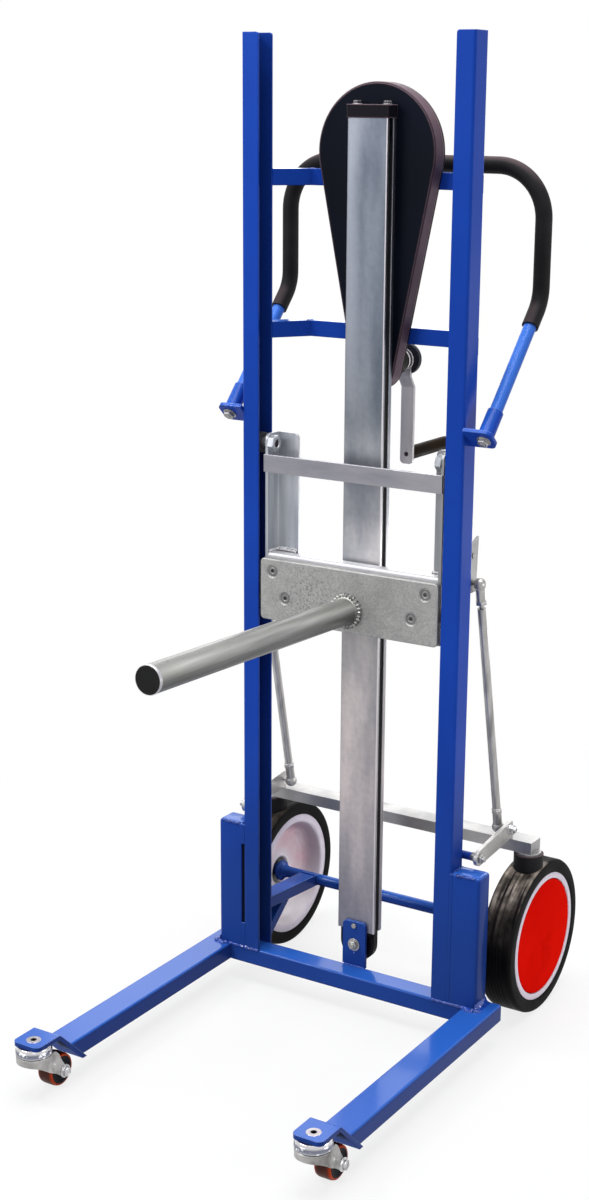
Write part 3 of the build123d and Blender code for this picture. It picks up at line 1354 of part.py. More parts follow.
save(left_mast, "left_mast")
save(right_mast, "right_mast")
save(base_crossbar, "base_crossbar")
save(left_leg, "left_leg")
save(right_leg, "right_leg")
save(mast_stiffeners, "mast_stiffeners")
save(caster_plates, "caster_plates")
save(caster_heads, "caster_heads")
save(left_caster_fork, "left_caster_fork")
save(right_caster_fork, "right_caster_fork")
save(left_caster_wheel, "left_caster_wheel")
save(right_caster_wheel, "right_caster_wheel")
save(rear_axle, "rear_axle")
save(axle_arms, "axle_arms")
save(left_tyre, "left_tyre")
save(right_tyre, "right_tyre")
save(left_rim, "left_rim")
save(right_rim, "right_rim")
save(left_wheel_cap, "left_wheel_cap")
save(right_wheel_cap, "right_wheel_cap")
save(cross_tubes, "cross_tubes")
save(lift_column, "lift_column")
save(column_cap, "column_cap")
save(column_foot_bracket, "column_foot_bracket")
save(column_bolts, "column_bolts")
save(lifting_belt, "lifting_belt")
save(idler_pulley, "idler_pulley")
save(top_pulley, "top_pulley")
save(large_sprocket, "large_sprocket")
save(crank_shaft, "crank_shaft")
save(drive_chain, "drive_chain")
save(drive_cover, "drive_cover")
save(drive_mounting_plate, "drive_mounting_plate")
save(brake_discs, "brake_discs")
save(crank_hub, "crank_hub")
save(crank_arm, "crank_arm")
save(crank_grip, "crank_grip")
save(push_handle, "push_handle")
save(handle_grip, "handle_grip")
save(handle_brackets, "handle_brackets")
save(handle_bolts, "handle_bolts")
save(carriage_angles, "carriage_angles")
save(carriage_upper_bar, "carriage_upper_bar")
save(carriage_cross_member, "carriage_cross_member")
save(boom_plate, "boom_plate")
save(boom_plate_screws, "boom_plate_screws")
save(boom_tube, "boom_tube")
save(boom_end_plug, "boom_end_plug")
save(roller_axles, "roller_axles")
save(upper_rollers, "upper_rollers")
save(lower_rollers, "lower_rollers")
save(belt_clamp, "belt_clamp")
save(brake_pivot_pins, "brake_pivot_pins")
save(brake_pivot_nuts, "brake_pivot_nuts")
save(brake_bar, "brake_bar")
save(brake_pads, "brake_pads")
save(brake_arms, "brake_arms")
save(spring_brackets, "spring_brackets")
save(spring_cylinders, "spring_cylinders")
save(spring_rods, "spring_rods")
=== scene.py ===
import json
import math

import bmesh
import bpy
from mathutils import Matrix, Vector


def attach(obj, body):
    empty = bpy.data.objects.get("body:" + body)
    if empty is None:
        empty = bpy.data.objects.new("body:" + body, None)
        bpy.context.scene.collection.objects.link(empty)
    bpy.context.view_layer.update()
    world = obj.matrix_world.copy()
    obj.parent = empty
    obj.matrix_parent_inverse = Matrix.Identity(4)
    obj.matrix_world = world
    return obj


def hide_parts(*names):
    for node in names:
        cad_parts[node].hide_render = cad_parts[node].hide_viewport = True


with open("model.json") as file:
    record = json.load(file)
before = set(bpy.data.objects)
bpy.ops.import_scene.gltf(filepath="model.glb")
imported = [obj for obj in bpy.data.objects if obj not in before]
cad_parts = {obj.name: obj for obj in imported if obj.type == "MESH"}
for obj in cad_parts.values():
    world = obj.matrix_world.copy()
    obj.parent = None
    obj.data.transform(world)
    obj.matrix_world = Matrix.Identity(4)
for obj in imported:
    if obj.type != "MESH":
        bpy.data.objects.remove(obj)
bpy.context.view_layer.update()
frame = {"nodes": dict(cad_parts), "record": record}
nodes = frame["nodes"]
scene = bpy.context.scene
scene.view_settings.view_transform = "Standard"
MM = 0.001
SIDES = (("left", -1), ("right", 1))
BOTH_SIDES = (-1, 1)
BLACK = (0, 0, 0, 1)
WHITE = (1, 1, 1, 1)

# Places that finishes and pieces both go by, in millimetres
WHEEL_CENTRE = (0, 290.6, 130)
RIM_OUT = 108
KING_PIN_X = 249
KING_PIN_Y = -390


# Small helpers for colours and node trees

def srgb(red, green, blue):
    """A colour as picked from a screen, 0 to 255, turned into linear values."""
    linear = []
    for value in (red / 255, green / 255, blue / 255):
        linear.append(value / 12.92 if value <= 0.04045 else ((value + 0.055) / 1.055) ** 2.4)
    return (*linear, 1.0)


def grey(value):
    """An even grey in linear values."""
    return (value, value, value, 1)


def put(tree, kind, inputs=None, **settings):
    """Adds a node, sets its settings, then links or sets its inputs."""
    node = tree.nodes.new(kind)
    for name, value in settings.items():
        setattr(node, name, value)
    for name, value in (inputs or {}).items():
        if isinstance(value, bpy.types.NodeSocket):
            tree.links.new(value, node.inputs[name])
        else:
            node.inputs[name].default_value = value
    return node


def shader_group(name, inputs, outputs):
    """An empty shader node group with named sockets; returns its tree, inputs and outputs."""
    tree = bpy.data.node_groups.new(name, "ShaderNodeTree")
    for label, kind, value in inputs:
        socket = tree.interface.new_socket(label, in_out="INPUT", socket_type="NodeSocket" + kind)
        socket.default_value = value
    for label, kind in outputs:
        tree.interface.new_socket(label, in_out="OUTPUT", socket_type="NodeSocket" + kind)
    given = tree.nodes.new("NodeGroupInput").outputs
    made = tree.nodes.new("NodeGroupOutput").inputs
    return tree, given, made


def math_node(tree, operation, first, second=0.0, clamp=False):
    """One arithmetic node; gives its result."""
    node = put(tree, "ShaderNodeMath", {0: first, 1: second}, operation=operation, use_clamp=clamp)
    return node.outputs[0]


def blend_colours(tree, share, first, second):
    """Goes from the first colour to the second by a share from 0 to 1."""
    node = put(tree, "ShaderNodeMix", {0: share, 6: first, 7: second}, data_type="RGBA")
    return node.outputs[2]


def spread(tree, value, low, high):
    """A value from 0 to 1 spread between low and high."""
    node = put(tree, "ShaderNodeMapRange", {"Value": value, "To Min": low, "To Max": high})
    return node.outputs[0]


# Effects that several finishes share

def stretched_noise(tree, given, detail):
    """Noise that sticks to the piece, with the scale and the stretch that the effect is given."""
    place = put(tree, "ShaderNodeTexCoord").outputs["Object"]
    stretched = put(tree, "ShaderNodeVectorMath", {0: place, 1: given["Stretch"]}, operation="MULTIPLY")
    inputs = {"Vector": stretched.outputs[0], "Scale": given["Scale"], "Detail": detail}
    return put(tree, "ShaderNodeTexNoise", inputs).outputs[0]


def cloud_group():
    """Soft clouding between a light and a dark tone, stretched along an axis if asked."""
    tree, given, made = shader_group(
        "clouding",
        [
            ("Light", "Color", WHITE),
            ("Dark", "Color", BLACK),
            ("Scale", "Float", 10.0),
            ("Stretch", "Vector", (1, 1, 1)),
            ("Contrast", "Float", 2.0),
        ],
        [("Colour", "Color"), ("Mask", "Float")],
    )
    centred = math_node(tree, "SUBTRACT", stretched_noise(tree, given, 4.0), 0.5)
    pushed = math_node(tree, "MULTIPLY", centred, given["Contrast"])
    mask = math_node(tree, "ADD", pushed, 0.5, clamp=True)
    tree.links.new(blend_colours(tree, mask, given["Dark"], given["Light"]), made["Colour"])
    tree.links.new(mask, made["Mask"])
    return tree


def grain_group():
    """A fine surface height: orange peel when even, brush lines when stretched."""
    tree, given, made = shader_group(
        "fine grain",
        [("Scale", "Float", 300.0), ("Stretch", "Vector", (1, 1, 1)), ("Detail", "Float", 2.0)],
        [("Height", "Float")],
    )
    tree.links.new(stretched_noise(tree, given, given["Detail"]), made["Height"])
    return tree


def edge_group():
    """Rounds sharp edges in the shading and marks where they are."""
    tree, given, made = shader_group(
        "rounded edges",
        [("Radius", "Float", 0.001), ("Sharpness", "Float", 3.0)],
        [("Normal", "Vector"), ("Mask", "Float"), ("Up", "Float")],
    )
    rounded = put(tree, "ShaderNodeBevel", {"Radius": given["Radius"]}, samples=6)
    flat = put(tree, "ShaderNodeNewGeometry").outputs["Normal"]
    facing = put(tree, "ShaderNodeVectorMath", {0: rounded.outputs[0], 1: flat}, operation="DOT_PRODUCT")
    away = math_node(tree, "SUBTRACT", 1.0, facing.outputs["Value"])
    mask = math_node(tree, "MULTIPLY", away, given["Sharpness"], clamp=True)
    up = put(tree, "ShaderNodeSeparateXYZ", {0: rounded.outputs[0]}).outputs["Z"]
    tree.links.new(rounded.outputs[0], made["Normal"])
    tree.links.new(mask, made["Mask"])
    tree.links.new(up, made["Up"])
    return tree


def speck_group():
    """Scattered small specks: pits, dust or paint spots."""
    tree, given, made = shader_group(
        "specks",
        [("Scale", "Float", 200.0), ("Size", "Float", 0.25), ("Amount", "Float", 0.1)],
        [("Mask", "Float")],
    )
    place = put(tree, "ShaderNodeTexCoord").outputs["Object"]
    cells = put(tree, "ShaderNodeTexVoronoi", {"Vector": place, "Scale": given["Scale"]})
    near = math_node(tree, "LESS_THAN", cells.outputs["Distance"], given["Size"])
    pick = put(tree, "ShaderNodeSeparateColor", {0: cells.outputs["Color"]})
    chosen = math_node(tree, "LESS_THAN", pick.outputs[0], given["Amount"])
    tree.links.new(math_node(tree, "MULTIPLY", near, chosen), made["Mask"])
    return tree


CLOUDING = cloud_group()
GRAIN = grain_group()
EDGES = edge_group()
SPECKS = speck_group()


class Finish:
    """A material under construction: its tree, its shader and the shared effects."""

    def __init__(self, name, **plain):
        self.material = bpy.data.materials.new(name)
        self.material.use_nodes = True
        self.tree = self.material.node_tree
        self.shader = self.tree.nodes["Principled BSDF"]
        for label, value in plain.items():
            self.shader.inputs[label.replace("_", " ")].default_value = value

    def use(self, group, **values):
        """Places a shared effect with its own values."""
        return put(self.tree, "ShaderNodeGroup", values, node_tree=group).outputs

    def clouds(self, light, dark, **values):
        """Clouding between two tones."""
        return self.use(CLOUDING, Light=light, Dark=dark, **values)

    def math(self, operation, first, second=0.0):
        """One arithmetic node in this material."""
        return math_node(self.tree, operation, first, second)

    def scale(self, mask, amount):
        """A mask made weaker."""
        return self.math("MULTIPLY", mask, amount)

    def both(self, first, second):
        """A mask that is left only where two masks are."""
        return self.math("MULTIPLY", first, second)

    def spread(self, value, low, high):
        """A mask spread between low and high."""
        return spread(self.tree, value, low, high)

    def blend(self, share, first, second):
        """Goes from the first colour to the second."""
        return blend_colours(self.tree, share, first, second)

    def cover(self, mask, amount, colour, top):
        """Lays a second colour over the first where the mask is, up to an amount."""
        return self.blend(self.scale(mask, amount), colour, top)

    def give(self, label, value):
        """Links a value to one of the shader's inputs."""
        self.tree.links.new(value, self.shader.inputs[label])

    def bump(self, height, strength, distance, edges=None):
        """A relief on the surface, or on the rounded edges of it."""
        inputs = {"Height": height, "Strength": strength, "Distance": distance}
        if edges is not None:
            inputs["Normal"] = edges["Normal"]
        self.give("Normal", put(self.tree, "ShaderNodeBump", inputs).outputs[0])

    def done(self, colour, rough, relief, edges=None, gloss=None, **grain):
        """Gives the colour, a roughness that follows the gloss mask or the grain, and the grain's relief."""
        height = self.use(GRAIN, **grain)["Height"]
        self.give("Base Color", colour)
        self.give("Roughness", self.spread(height if gloss is None else gloss, *rough))
        self.bump(height, *relief, edges)
        return self.material

    def tint(self, first, second):
        """One colour multiplied by another."""
        inputs = {0: 1.0, 6: first, 7: second}
        return put(self.tree, "ShaderNodeMix", inputs, data_type="RGBA", blend_type="MULTIPLY").outputs[2]

    def spot(self):
        """Where a point of the surface lies."""
        return put(self.tree, "ShaderNodeTexCoord").outputs["Object"]

    def place(self):
        """The same as X, Y and Z."""
        return put(self.tree, "ShaderNodeSeparateXYZ", {0: self.spot()}).outputs

    def facing(self):
        """Where the surface looks, as X, Y and Z."""
        normal = put(self.tree, "ShaderNodeNewGeometry").outputs["Normal"]
        return put(self.tree, "ShaderNodeSeparateXYZ", {0: normal}).outputs

    def rise(self, value, low, high):
        """Goes from 0 at low to 1 at high, which may lie below it."""
        inputs = {"Value": value, "From Min": low, "From Max": high}
        return put(self.tree, "ShaderNodeMapRange", inputs).outputs[0]

    def distance(self, spot, centre):
        """How far a point of the surface is from a given place."""
        inputs = {0: spot, 1: centre}
        return put(self.tree, "ShaderNodeVectorMath", inputs, operation="DISTANCE").outputs["Value"]

    def near(self, centre, inner, outer):
        """A soft round patch: 1 within inner of a point, 0 beyond outer."""
        return self.rise(self.distance(self.spot(), centre), outer, inner)

    def from_axle(self):
        """Distance from the line of the rear axle."""
        inputs = {0: self.spot(), 1: (0, 1, 1)}
        flat = put(self.tree, "ShaderNodeVectorMath", inputs, operation="MULTIPLY").outputs[0]
        return self.distance(flat, [MM * value for value in WHEEL_CENTRE])

    def ramp(self, value, stops):
        """Colours at given places between 0 and 1, blended in between."""
        node = put(self.tree, "ShaderNodeValToRGB", {0: value})
        elements = node.color_ramp.elements
        elements.remove(elements[1])
        elements[0].position, elements[0].color = stops[0]
        for position, colour in stops[1:]:
            elements.new(position).color = colour
        return node.outputs[0]


# Finishes, one for each material slot of the record

# Where the painted shade inside each mast's channel begins and where it is full, in metres
CHANNEL_OUTER = (0.1952, 0.1946)
CHANNEL_INNER = (0.166, 0.1672)
CHANNEL_FRONT = (0.1006, 0.1016)
CHANNEL_BACK = (0.1354, 0.1344)
CHANNEL_FOOT = (0.07, 0.08)


def blue_paint(name, light, dark, crown):
    """Blue powder coat with painted light and shade: lighter where it looks up, deeper low down, nearly black
    inside the masts.
    """
    finish = Finish(
        name,
        IOR=1.45,
        Specular_IOR_Level=0.09,
        Specular_Tint=(0.2, 0.28, 0.6, 1),
        Coat_IOR=1.4,
        Coat_Roughness=0.1,
    )
    tone = finish.clouds(light, dark, Scale=4.0, Contrast=1.6)
    edges = finish.use(EDGES, Radius=0.002, Sharpness=2.2)
    dust = finish.use(SPECKS, Scale=60.0, Size=0.12, Amount=0.012)
    place = finish.place()
    up = finish.facing()["Z"]
    # Painted shade: deeper and duller towards the floor, and darker still on low faces that look right
    low = finish.scale(finish.rise(place["Z"], 0.5, 0.16), 0.9)
    side = finish.both(low, finish.rise(finish.facing()["X"], 0.4, 0.9))
    colour = finish.blend(low, tone["Colour"], finish.tint(tone["Colour"], (1.25, 0.86, 0.62, 1)))
    colour = finish.blend(side, colour, finish.tint(colour, (0.7, 0.6, 0.62, 1)))
    # Painted light: faces that look up take the lighter crown colour
    colour = finish.blend(finish.rise(up, 0.3, 0.85), colour, crown)
    # Painted shade: the inside of each mast's channel turns nearly black
    across = finish.math("ABSOLUTE", place["X"])
    inside = finish.rise(across, *CHANNEL_OUTER)
    for value, limits in (
        (across, CHANNEL_INNER),
        (place["Y"], CHANNEL_FRONT),
        (place["Y"], CHANNEL_BACK),
        (place["Z"], CHANNEL_FOOT),
    ):
        inside = finish.both(inside, finish.rise(value, *limits))
    colour = finish.cover(inside, 0.85, colour, srgb(10, 16, 36))
    # Painted highlight along the edges that look up
    edge_highlight = finish.both(edges["Mask"], finish.rise(edges["Up"], 0.25, 0.55))
    colour = finish.cover(edge_highlight, 0.85, colour, srgb(150, 176, 240))
    colour = finish.cover(dust["Mask"], 0.5, colour, srgb(150, 170, 235))
    # Painted shade: low faces that look down turn dark blue and metallic, so they reflect little
    under = finish.both(finish.rise(up, -0.25, -0.6), finish.rise(place["Z"], 0.5, 0.3))
    colour = finish.blend(under, colour, srgb(24, 38, 84))
    finish.give("Metallic", under)
    finish.give("Coat Weight", finish.scale(finish.rise(up, 0.15, 0.7), 0.35))
    wear = finish.use(GRAIN, Scale=9.0, Detail=3.0)["Height"]
    return finish.done(colour, (0.15, 0.28), (0.15, 0.0002), edges, wear, Scale=420.0)


def zinc():
    """Bolts, bars and brackets: zinc plate with pale edges and small dark pits."""
    finish = Finish("zinc_plate", Metallic=0.85, Specular_IOR_Level=0.4)
    tone = finish.clouds((0.39, 0.385, 0.38, 1), (0.23, 0.227, 0.23, 1), Scale=16.0, Contrast=2.2)
    edges = finish.use(EDGES, Radius=0.0009, Sharpness=2.5)
    pits = finish.use(SPECKS, Scale=260.0, Size=0.2, Amount=0.035)
    colour = finish.cover(edges["Mask"], 0.6, tone["Colour"], (0.66, 0.66, 0.68, 1))
    colour = finish.cover(pits["Mask"], 0.5, colour, (0.16, 0.16, 0.17, 1))
    brushed = {"Scale": 500.0, "Stretch": (0.2, 1, 1)}
    return finish.done(colour, (0.46, 0.3), (0.2, 0.0002), edges, tone["Mask"], **brushed)


def galvanised():
    """The boom plate: an even spangled grey with a patch of dark pits beside the boom."""
    finish = Finish("galvanised_steel", Metallic=0.7, Specular_IOR_Level=0.4)
    tone = finish.clouds((0.48, 0.48, 0.47, 1), (0.37, 0.37, 0.365, 1), Scale=45.0, Contrast=1.6)
    edges = finish.use(EDGES, Radius=0.0014, Sharpness=2.5)
    spangle = finish.clouds(WHITE, grey(0.62), Scale=900.0, Contrast=2.0)
    grain = finish.clouds(grey(1.1), grey(0.8), Scale=330.0, Contrast=2.4)
    colour = finish.tint(finish.tint(tone["Colour"], spangle["Colour"]), grain["Colour"])
    pits = finish.use(SPECKS, Scale=240.0, Size=0.26, Amount=0.05)
    beside_boom = (-0.07, 0.095, 0.7)
    patch = finish.near(beside_boom, 0.025, 0.075)
    stains = finish.use(CLOUDING, Scale=300.0, Contrast=3.4)
    rough = finish.both(finish.rise(stains["Mask"], 0.62, 0.9), patch)
    marks = finish.math("MAXIMUM", finish.scale(pits["Mask"], 0.4), finish.scale(rough, 0.8))
    colour = finish.cover(marks, 0.75, colour, grey(0.12))
    colour = finish.cover(edges["Mask"], 0.6, colour, (0.72, 0.72, 0.7, 1))
    finish.give("Base Color", colour)
    finish.give("Roughness", finish.spread(spangle["Mask"], 0.58, 0.42))
    finish.bump(spangle["Mask"], 0.25, 0.0002, edges)
    return finish.material


COLUMN_HEIGHT = 1.5


def aluminium():
    """The column: drawn aluminium with painted reflections and shade by height, warm grey below and blue grey
    towards the top, and painted highlights.
    """
    finish = Finish("drawn_aluminium", Metallic=0.9, Specular_IOR_Level=0.4)
    # Painted reflections and shade by height: a bright band for the cross member's reflection, a dip below it
    # for the plate's shadow, a blue grey top for reflected surroundings
    drawn = finish.ramp(
        finish.math("DIVIDE", finish.place()["Z"], COLUMN_HEIGHT),
        [
            (0.09, (0.27, 0.265, 0.33, 1)),
            (0.16, (0.42, 0.39, 0.41, 1)),
            (0.25, (0.54, 0.49, 0.5, 1)),
            (0.35, (0.55, 0.51, 0.52, 1)),
            (0.4, (0.46, 0.435, 0.445, 1)),
            (0.43, (0.4, 0.385, 0.395, 1)),
            (0.52, (0.68, 0.665, 0.685, 1)),
            (0.54, (0.54, 0.53, 0.56, 1)),
            (0.557, (0.37, 0.375, 0.41, 1)),
            (0.6, (0.25, 0.265, 0.3, 1)),
            (0.63, (0.32, 0.335, 0.37, 1)),
            (0.655, (0.22, 0.24, 0.275, 1)),
            (0.75, (0.18, 0.205, 0.25, 1)),
            (0.95, (0.16, 0.178, 0.22, 1)),
        ],
    )
    upright = {"Scale": 8.0, "Stretch": (3.0, 3.0, 0.7), "Contrast": 3.0}
    streaks = finish.clouds((1.02, 1.0, 0.98, 1), (0.54, 0.57, 0.6, 1), **upright)
    spots = finish.clouds(WHITE, (0.86, 0.86, 0.87, 1), Scale=120.0, Contrast=2.0)
    edges = finish.use(EDGES, Radius=0.0024, Sharpness=2.0)
    colour = finish.tint(finish.tint(drawn, streaks["Colour"]), spots["Colour"])
    # Painted highlight along the rounded edges
    colour = finish.cover(edges["Mask"], 0.75, colour, (0.74, 0.7, 0.72, 1))
    place = finish.place()
    # Painted highlights: a broad one on the left side near the top, a bright lip on the right front corner
    pale = finish.both(finish.rise(place["X"], -0.008, -0.027), finish.rise(place["Z"], 0.98, 1.1))
    colour = finish.cover(pale, 0.3, colour, (0.42, 0.44, 0.5, 1))
    lip = finish.both(finish.rise(place["X"], 0.0322, 0.033), finish.rise(place["Y"], 0.1418, 0.1408))
    colour = finish.cover(lip, 0.8, colour, (0.72, 0.68, 0.7, 1))
    return finish.done(colour, (0.3, 0.5), (0.2, 0.0002), edges, Scale=600.0, Stretch=(1, 1, 0.02))


def black_plastic(name, light, dark, edge):
    """Moulded plastic with a fine texture and a painted highlight on its edges."""
    finish = Finish(name, IOR=1.45, Specular_IOR_Level=0.06)
    tone = finish.clouds(light, dark, Scale=12.0, Contrast=2.0)
    edges = finish.use(EDGES, Radius=0.0024, Sharpness=2.4)
    # Painted highlight of the given edge colour along the rounded edges
    colour = finish.cover(edges["Mask"], 0.8, tone["Colour"], edge)
    return finish.done(colour, (0.34, 0.5), (0.25, 0.0002), edges, tone["Mask"], Scale=700.0, Detail=3.0)


def black_rubber():
    """The handle's sleeve, the brake pads and the belt: matt black, with a painted sheen where it looks up.
    """
    finish = Finish("matt_black_rubber", IOR=1.4, Specular_IOR_Level=0.12)
    tone = finish.clouds(srgb(33, 32, 34), srgb(17, 17, 19), Scale=20.0, Contrast=2.0)
    edges = finish.use(EDGES, Radius=0.0012, Sharpness=2.0)
    # Painted sheen: faces that look up take a lighter brownish colour
    crown = finish.scale(finish.rise(finish.facing()["Z"], 0.45, 1.0), 0.6)
    colour = finish.blend(crown, tone["Colour"], srgb(92, 74, 78))
    colour = finish.cover(edges["Mask"], 0.35, colour, srgb(84, 76, 76))
    return finish.done(colour, (0.45, 0.65), (0.35, 0.0003), edges, Scale=520.0, Detail=4.0)


def tyre_rubber():
    """Black rubber with a painted, streaked brownish sheen on the upper front of the tread, near the brake
    pad.
    """
    finish = Finish("tyre_rubber", IOR=1.42, Specular_IOR_Level=0.04, Coat_IOR=1.5, Coat_Roughness=0.3)
    tone = finish.clouds(srgb(20, 19, 19), srgb(9, 9, 9), Scale=26.0, Contrast=2.2)
    edges = finish.use(EDGES, Radius=0.0012, Sharpness=2.0)
    crown = finish.rise(finish.from_axle(), 0.1262, 0.1292)
    place = finish.place()
    # Painted sheen: light streaks on the upper front of the tread, by height, where the top light would shine
    sheen_by_height = finish.ramp(
        finish.rise(place["Z"], 0.1, 0.25),
        [(0.25, BLACK), (0.56, grey(0.1)), (0.7, grey(0.3)), (0.84, WHITE)],
    )
    patches = finish.use(CLOUDING, Scale=40.0, Contrast=4.5)
    sheen_by_height = finish.both(sheen_by_height, finish.spread(patches["Mask"], 0.3, 1.4))
    upper = finish.both(sheen_by_height, finish.rise(place["Y"], 0.3, 0.26))
    upper = finish.both(upper, finish.spread(finish.rise(place["X"], -0.1, 0.1), 0.1, 1.0))
    painted_sheen = finish.both(crown, upper)
    around = {"Scale": 120.0, "Stretch": (1, 0.05, 0.05), "Contrast": 3.6}
    streaks = finish.clouds(srgb(206, 190, 174), srgb(30, 22, 26), **around)
    colour = finish.cover(edges["Mask"], 0.25, tone["Colour"], srgb(60, 55, 52))
    colour = finish.cover(painted_sheen, 0.75, colour, streaks["Colour"])
    finish.give("Coat Weight", finish.both(painted_sheen, streaks["Mask"]))
    return finish.done(colour, (0.42, 0.62), (0.25, 0.0003), edges, tone["Mask"], Scale=450.0, Detail=4.0)


def rim_plastic():
    """Off-white rim: a clean outer ring, a bowl with painted purple-grey shade and a painted pink reflection,
    a paler hub and painted shade round the bore.
    """
    finish = Finish("white_rim_plastic", IOR=1.45, Specular_IOR_Level=0.5)
    tone = finish.clouds(WHITE, (0.9, 0.87, 0.88, 1), Scale=16.0, Contrast=2.2)
    edges = finish.use(EDGES, Radius=0.0012, Sharpness=2.0)
    reach = finish.math("DIVIDE", finish.from_axle(), RIM_OUT * MM)
    height = finish.place()["Z"]
    # The dark middle is painted shade in the hub's recess round the collar
    clean = finish.ramp(
        reach,
        [
            (0.17, srgb(14, 12, 15)),
            (0.205, srgb(30, 26, 29)),
            (0.225, srgb(240, 232, 235)),
            (0.85, srgb(240, 234, 236)),
            (0.885, srgb(224, 216, 226)),
            (0.99, srgb(206, 198, 212)),
        ],
    )
    # Painted pink reflection in the upper bowl
    painted_pink_reflection = finish.ramp(reach, [(0.26, BLACK), (0.42, grey(0.6)), (0.76, WHITE), (0.86, BLACK)])
    painted_pink_reflection = finish.both(painted_pink_reflection, finish.rise(height, 0.085, 0.14))
    clouds = finish.use(CLOUDING, Scale=22.0, Contrast=2.6)
    painted_pink_reflection = finish.both(painted_pink_reflection, finish.spread(clouds["Mask"], 0.25, 1.0))
    shade = finish.ramp(reach, [(0.64, BLACK), (0.8, WHITE), (0.85, grey(0.9)), (0.87, BLACK)])
    shade = finish.both(shade, finish.rise(height, 0.06, 0.15))
    bowl = finish.cover(painted_pink_reflection, 0.9, clean, srgb(226, 158, 172))
    bowl = finish.cover(shade, 0.75, bowl, srgb(138, 116, 134))
    colour = finish.tint(bowl, tone["Colour"])
    colour = finish.cover(edges["Mask"], 0.3, colour, srgb(232, 226, 232))
    return finish.done(colour, (0.36, 0.24), (0.15, 0.0002), edges, tone["Mask"], Scale=260.0)


def red_plastic():
    """The wheel caps: plain red, with smudges on the right one's middle."""
    finish = Finish("red_cap_plastic", IOR=1.45, Specular_IOR_Level=0.0)
    tone = finish.clouds(srgb(226, 22, 11), srgb(210, 15, 7), Scale=10.0, Contrast=2.0)
    smudges = finish.clouds(WHITE, (0.8, 0.7, 0.7, 1), Scale=34.0, Contrast=5.0)
    right_cap = (0.275, 0.285, 0.1)
    middle = finish.near(right_cap, 0.01, 0.05)
    colour = finish.blend(middle, tone["Colour"], finish.tint(tone["Colour"], smudges["Colour"]))
    edges = finish.use(EDGES, Radius=0.0012, Sharpness=2.0)
    colour = finish.cover(edges["Mask"], 0.3, colour, srgb(226, 60, 40))
    return finish.done(colour, (0.5, 0.38), (0.15, 0.0002), edges, tone["Mask"], Scale=300.0)


def orange_rubber():
    """Caster tread: orange shoulders and a crown darkened by painted shade."""
    finish = Finish("orange_caster_tread", IOR=1.45, Specular_IOR_Level=0.15)
    tone = finish.clouds(srgb(192, 68, 22), srgb(150, 44, 12), Scale=60.0, Contrast=2.0)
    tread_shade = finish.clouds(srgb(64, 38, 26), srgb(24, 18, 16), Scale=70.0, Contrast=2.4)
    outward = finish.math("ABSOLUTE", finish.place()["X"])
    across = finish.math("ABSOLUTE", finish.math("SUBTRACT", outward, KING_PIN_X * MM))
    crown = finish.rise(across, 0.0125, 0.0085)
    edges = finish.use(EDGES, Radius=0.001, Sharpness=2.0)
    colour = finish.cover(edges["Mask"], 0.4, tone["Colour"], srgb(226, 110, 50))
    # Painted shade: the crown of the tread turns near black
    colour = finish.cover(crown, 0.9, colour, tread_shade["Colour"])
    return finish.done(colour, (0.5, 0.36), (0.2, 0.0002), edges, tone["Mask"], Scale=500.0)


def dark_steel():
    """The crank's shaft, the sprocket and the chain: dark oiled steel."""
    finish = Finish("oiled_dark_steel", Metallic=1.0)
    tone = finish.clouds((0.3, 0.28, 0.26, 1), (0.14, 0.13, 0.13, 1), Scale=40.0, Contrast=2.0)
    edges = finish.use(EDGES, Radius=0.0006, Sharpness=2.5)
    colour = finish.cover(edges["Mask"], 0.5, tone["Colour"], (0.5, 0.48, 0.46, 1))
    return finish.done(colour, (0.3, 0.5), (0.2, 0.0002), edges, Scale=500.0, Stretch=(1, 0.3, 1))


def roller_plastic():
    """The rollers: dark grey nylon."""
    finish = Finish("roller_nylon", IOR=1.45, Specular_IOR_Level=0.2)
    tone = finish.clouds(srgb(58, 58, 64), srgb(36, 36, 42), Scale=40.0, Contrast=2.0)
    edges = finish.use(EDGES, Radius=0.0008, Sharpness=2.0)
    colour = finish.cover(edges["Mask"], 0.3, tone["Colour"], srgb(104, 104, 110))
    return finish.done(colour, (0.5, 0.36), (0.2, 0.0002), edges, tone["Mask"], Scale=400.0)


# Finishes of single pieces that differ from their slot

def boom_steel():
    """The boom: the same zinc, drawn smooth, with painted light on top and painted shade on its flanks, and
    streaks along it.
    """
    finish = Finish("boom_satin_zinc", Metallic=0.35, Specular_IOR_Level=0.4)
    # Painted light and shade by slope: pale where the tube looks up, dark on its flanks
    painted_light_by_slope = finish.ramp(
        finish.rise(finish.facing()["Z"], -1.0, 1.0),
        [
            (0.0, (0.16, 0.16, 0.15, 1)),
            (0.28, (0.1, 0.1, 0.095, 1)),
            (0.5, (0.2, 0.2, 0.19, 1)),
            (0.66, (0.37, 0.37, 0.355, 1)),
            (0.8, (0.48, 0.48, 0.46, 1)),
            (0.9, (0.32, 0.32, 0.305, 1)),
            (1.0, (0.2, 0.2, 0.19, 1)),
        ],
    )
    along = {"Scale": 60.0, "Stretch": (1, 0.08, 1), "Contrast": 2.6}
    tone = finish.clouds((1.2, 1.2, 1.18, 1), (0.66, 0.66, 0.64, 1), **along)
    marks = finish.use(SPECKS, Scale=120.0, Size=0.14, Amount=0.05)
    edges = finish.use(EDGES, Radius=0.001, Sharpness=2.5)
    colour = finish.tint(painted_light_by_slope, tone["Colour"])
    colour = finish.cover(marks["Mask"], 0.5, colour, (0.08, 0.08, 0.075, 1))
    colour = finish.cover(edges["Mask"], 0.5, colour, (0.6, 0.6, 0.58, 1))
    return finish.done(colour, (0.28, 0.42), (0.15, 0.0002), edges, Scale=300.0, Stretch=(1, 0.1, 1))


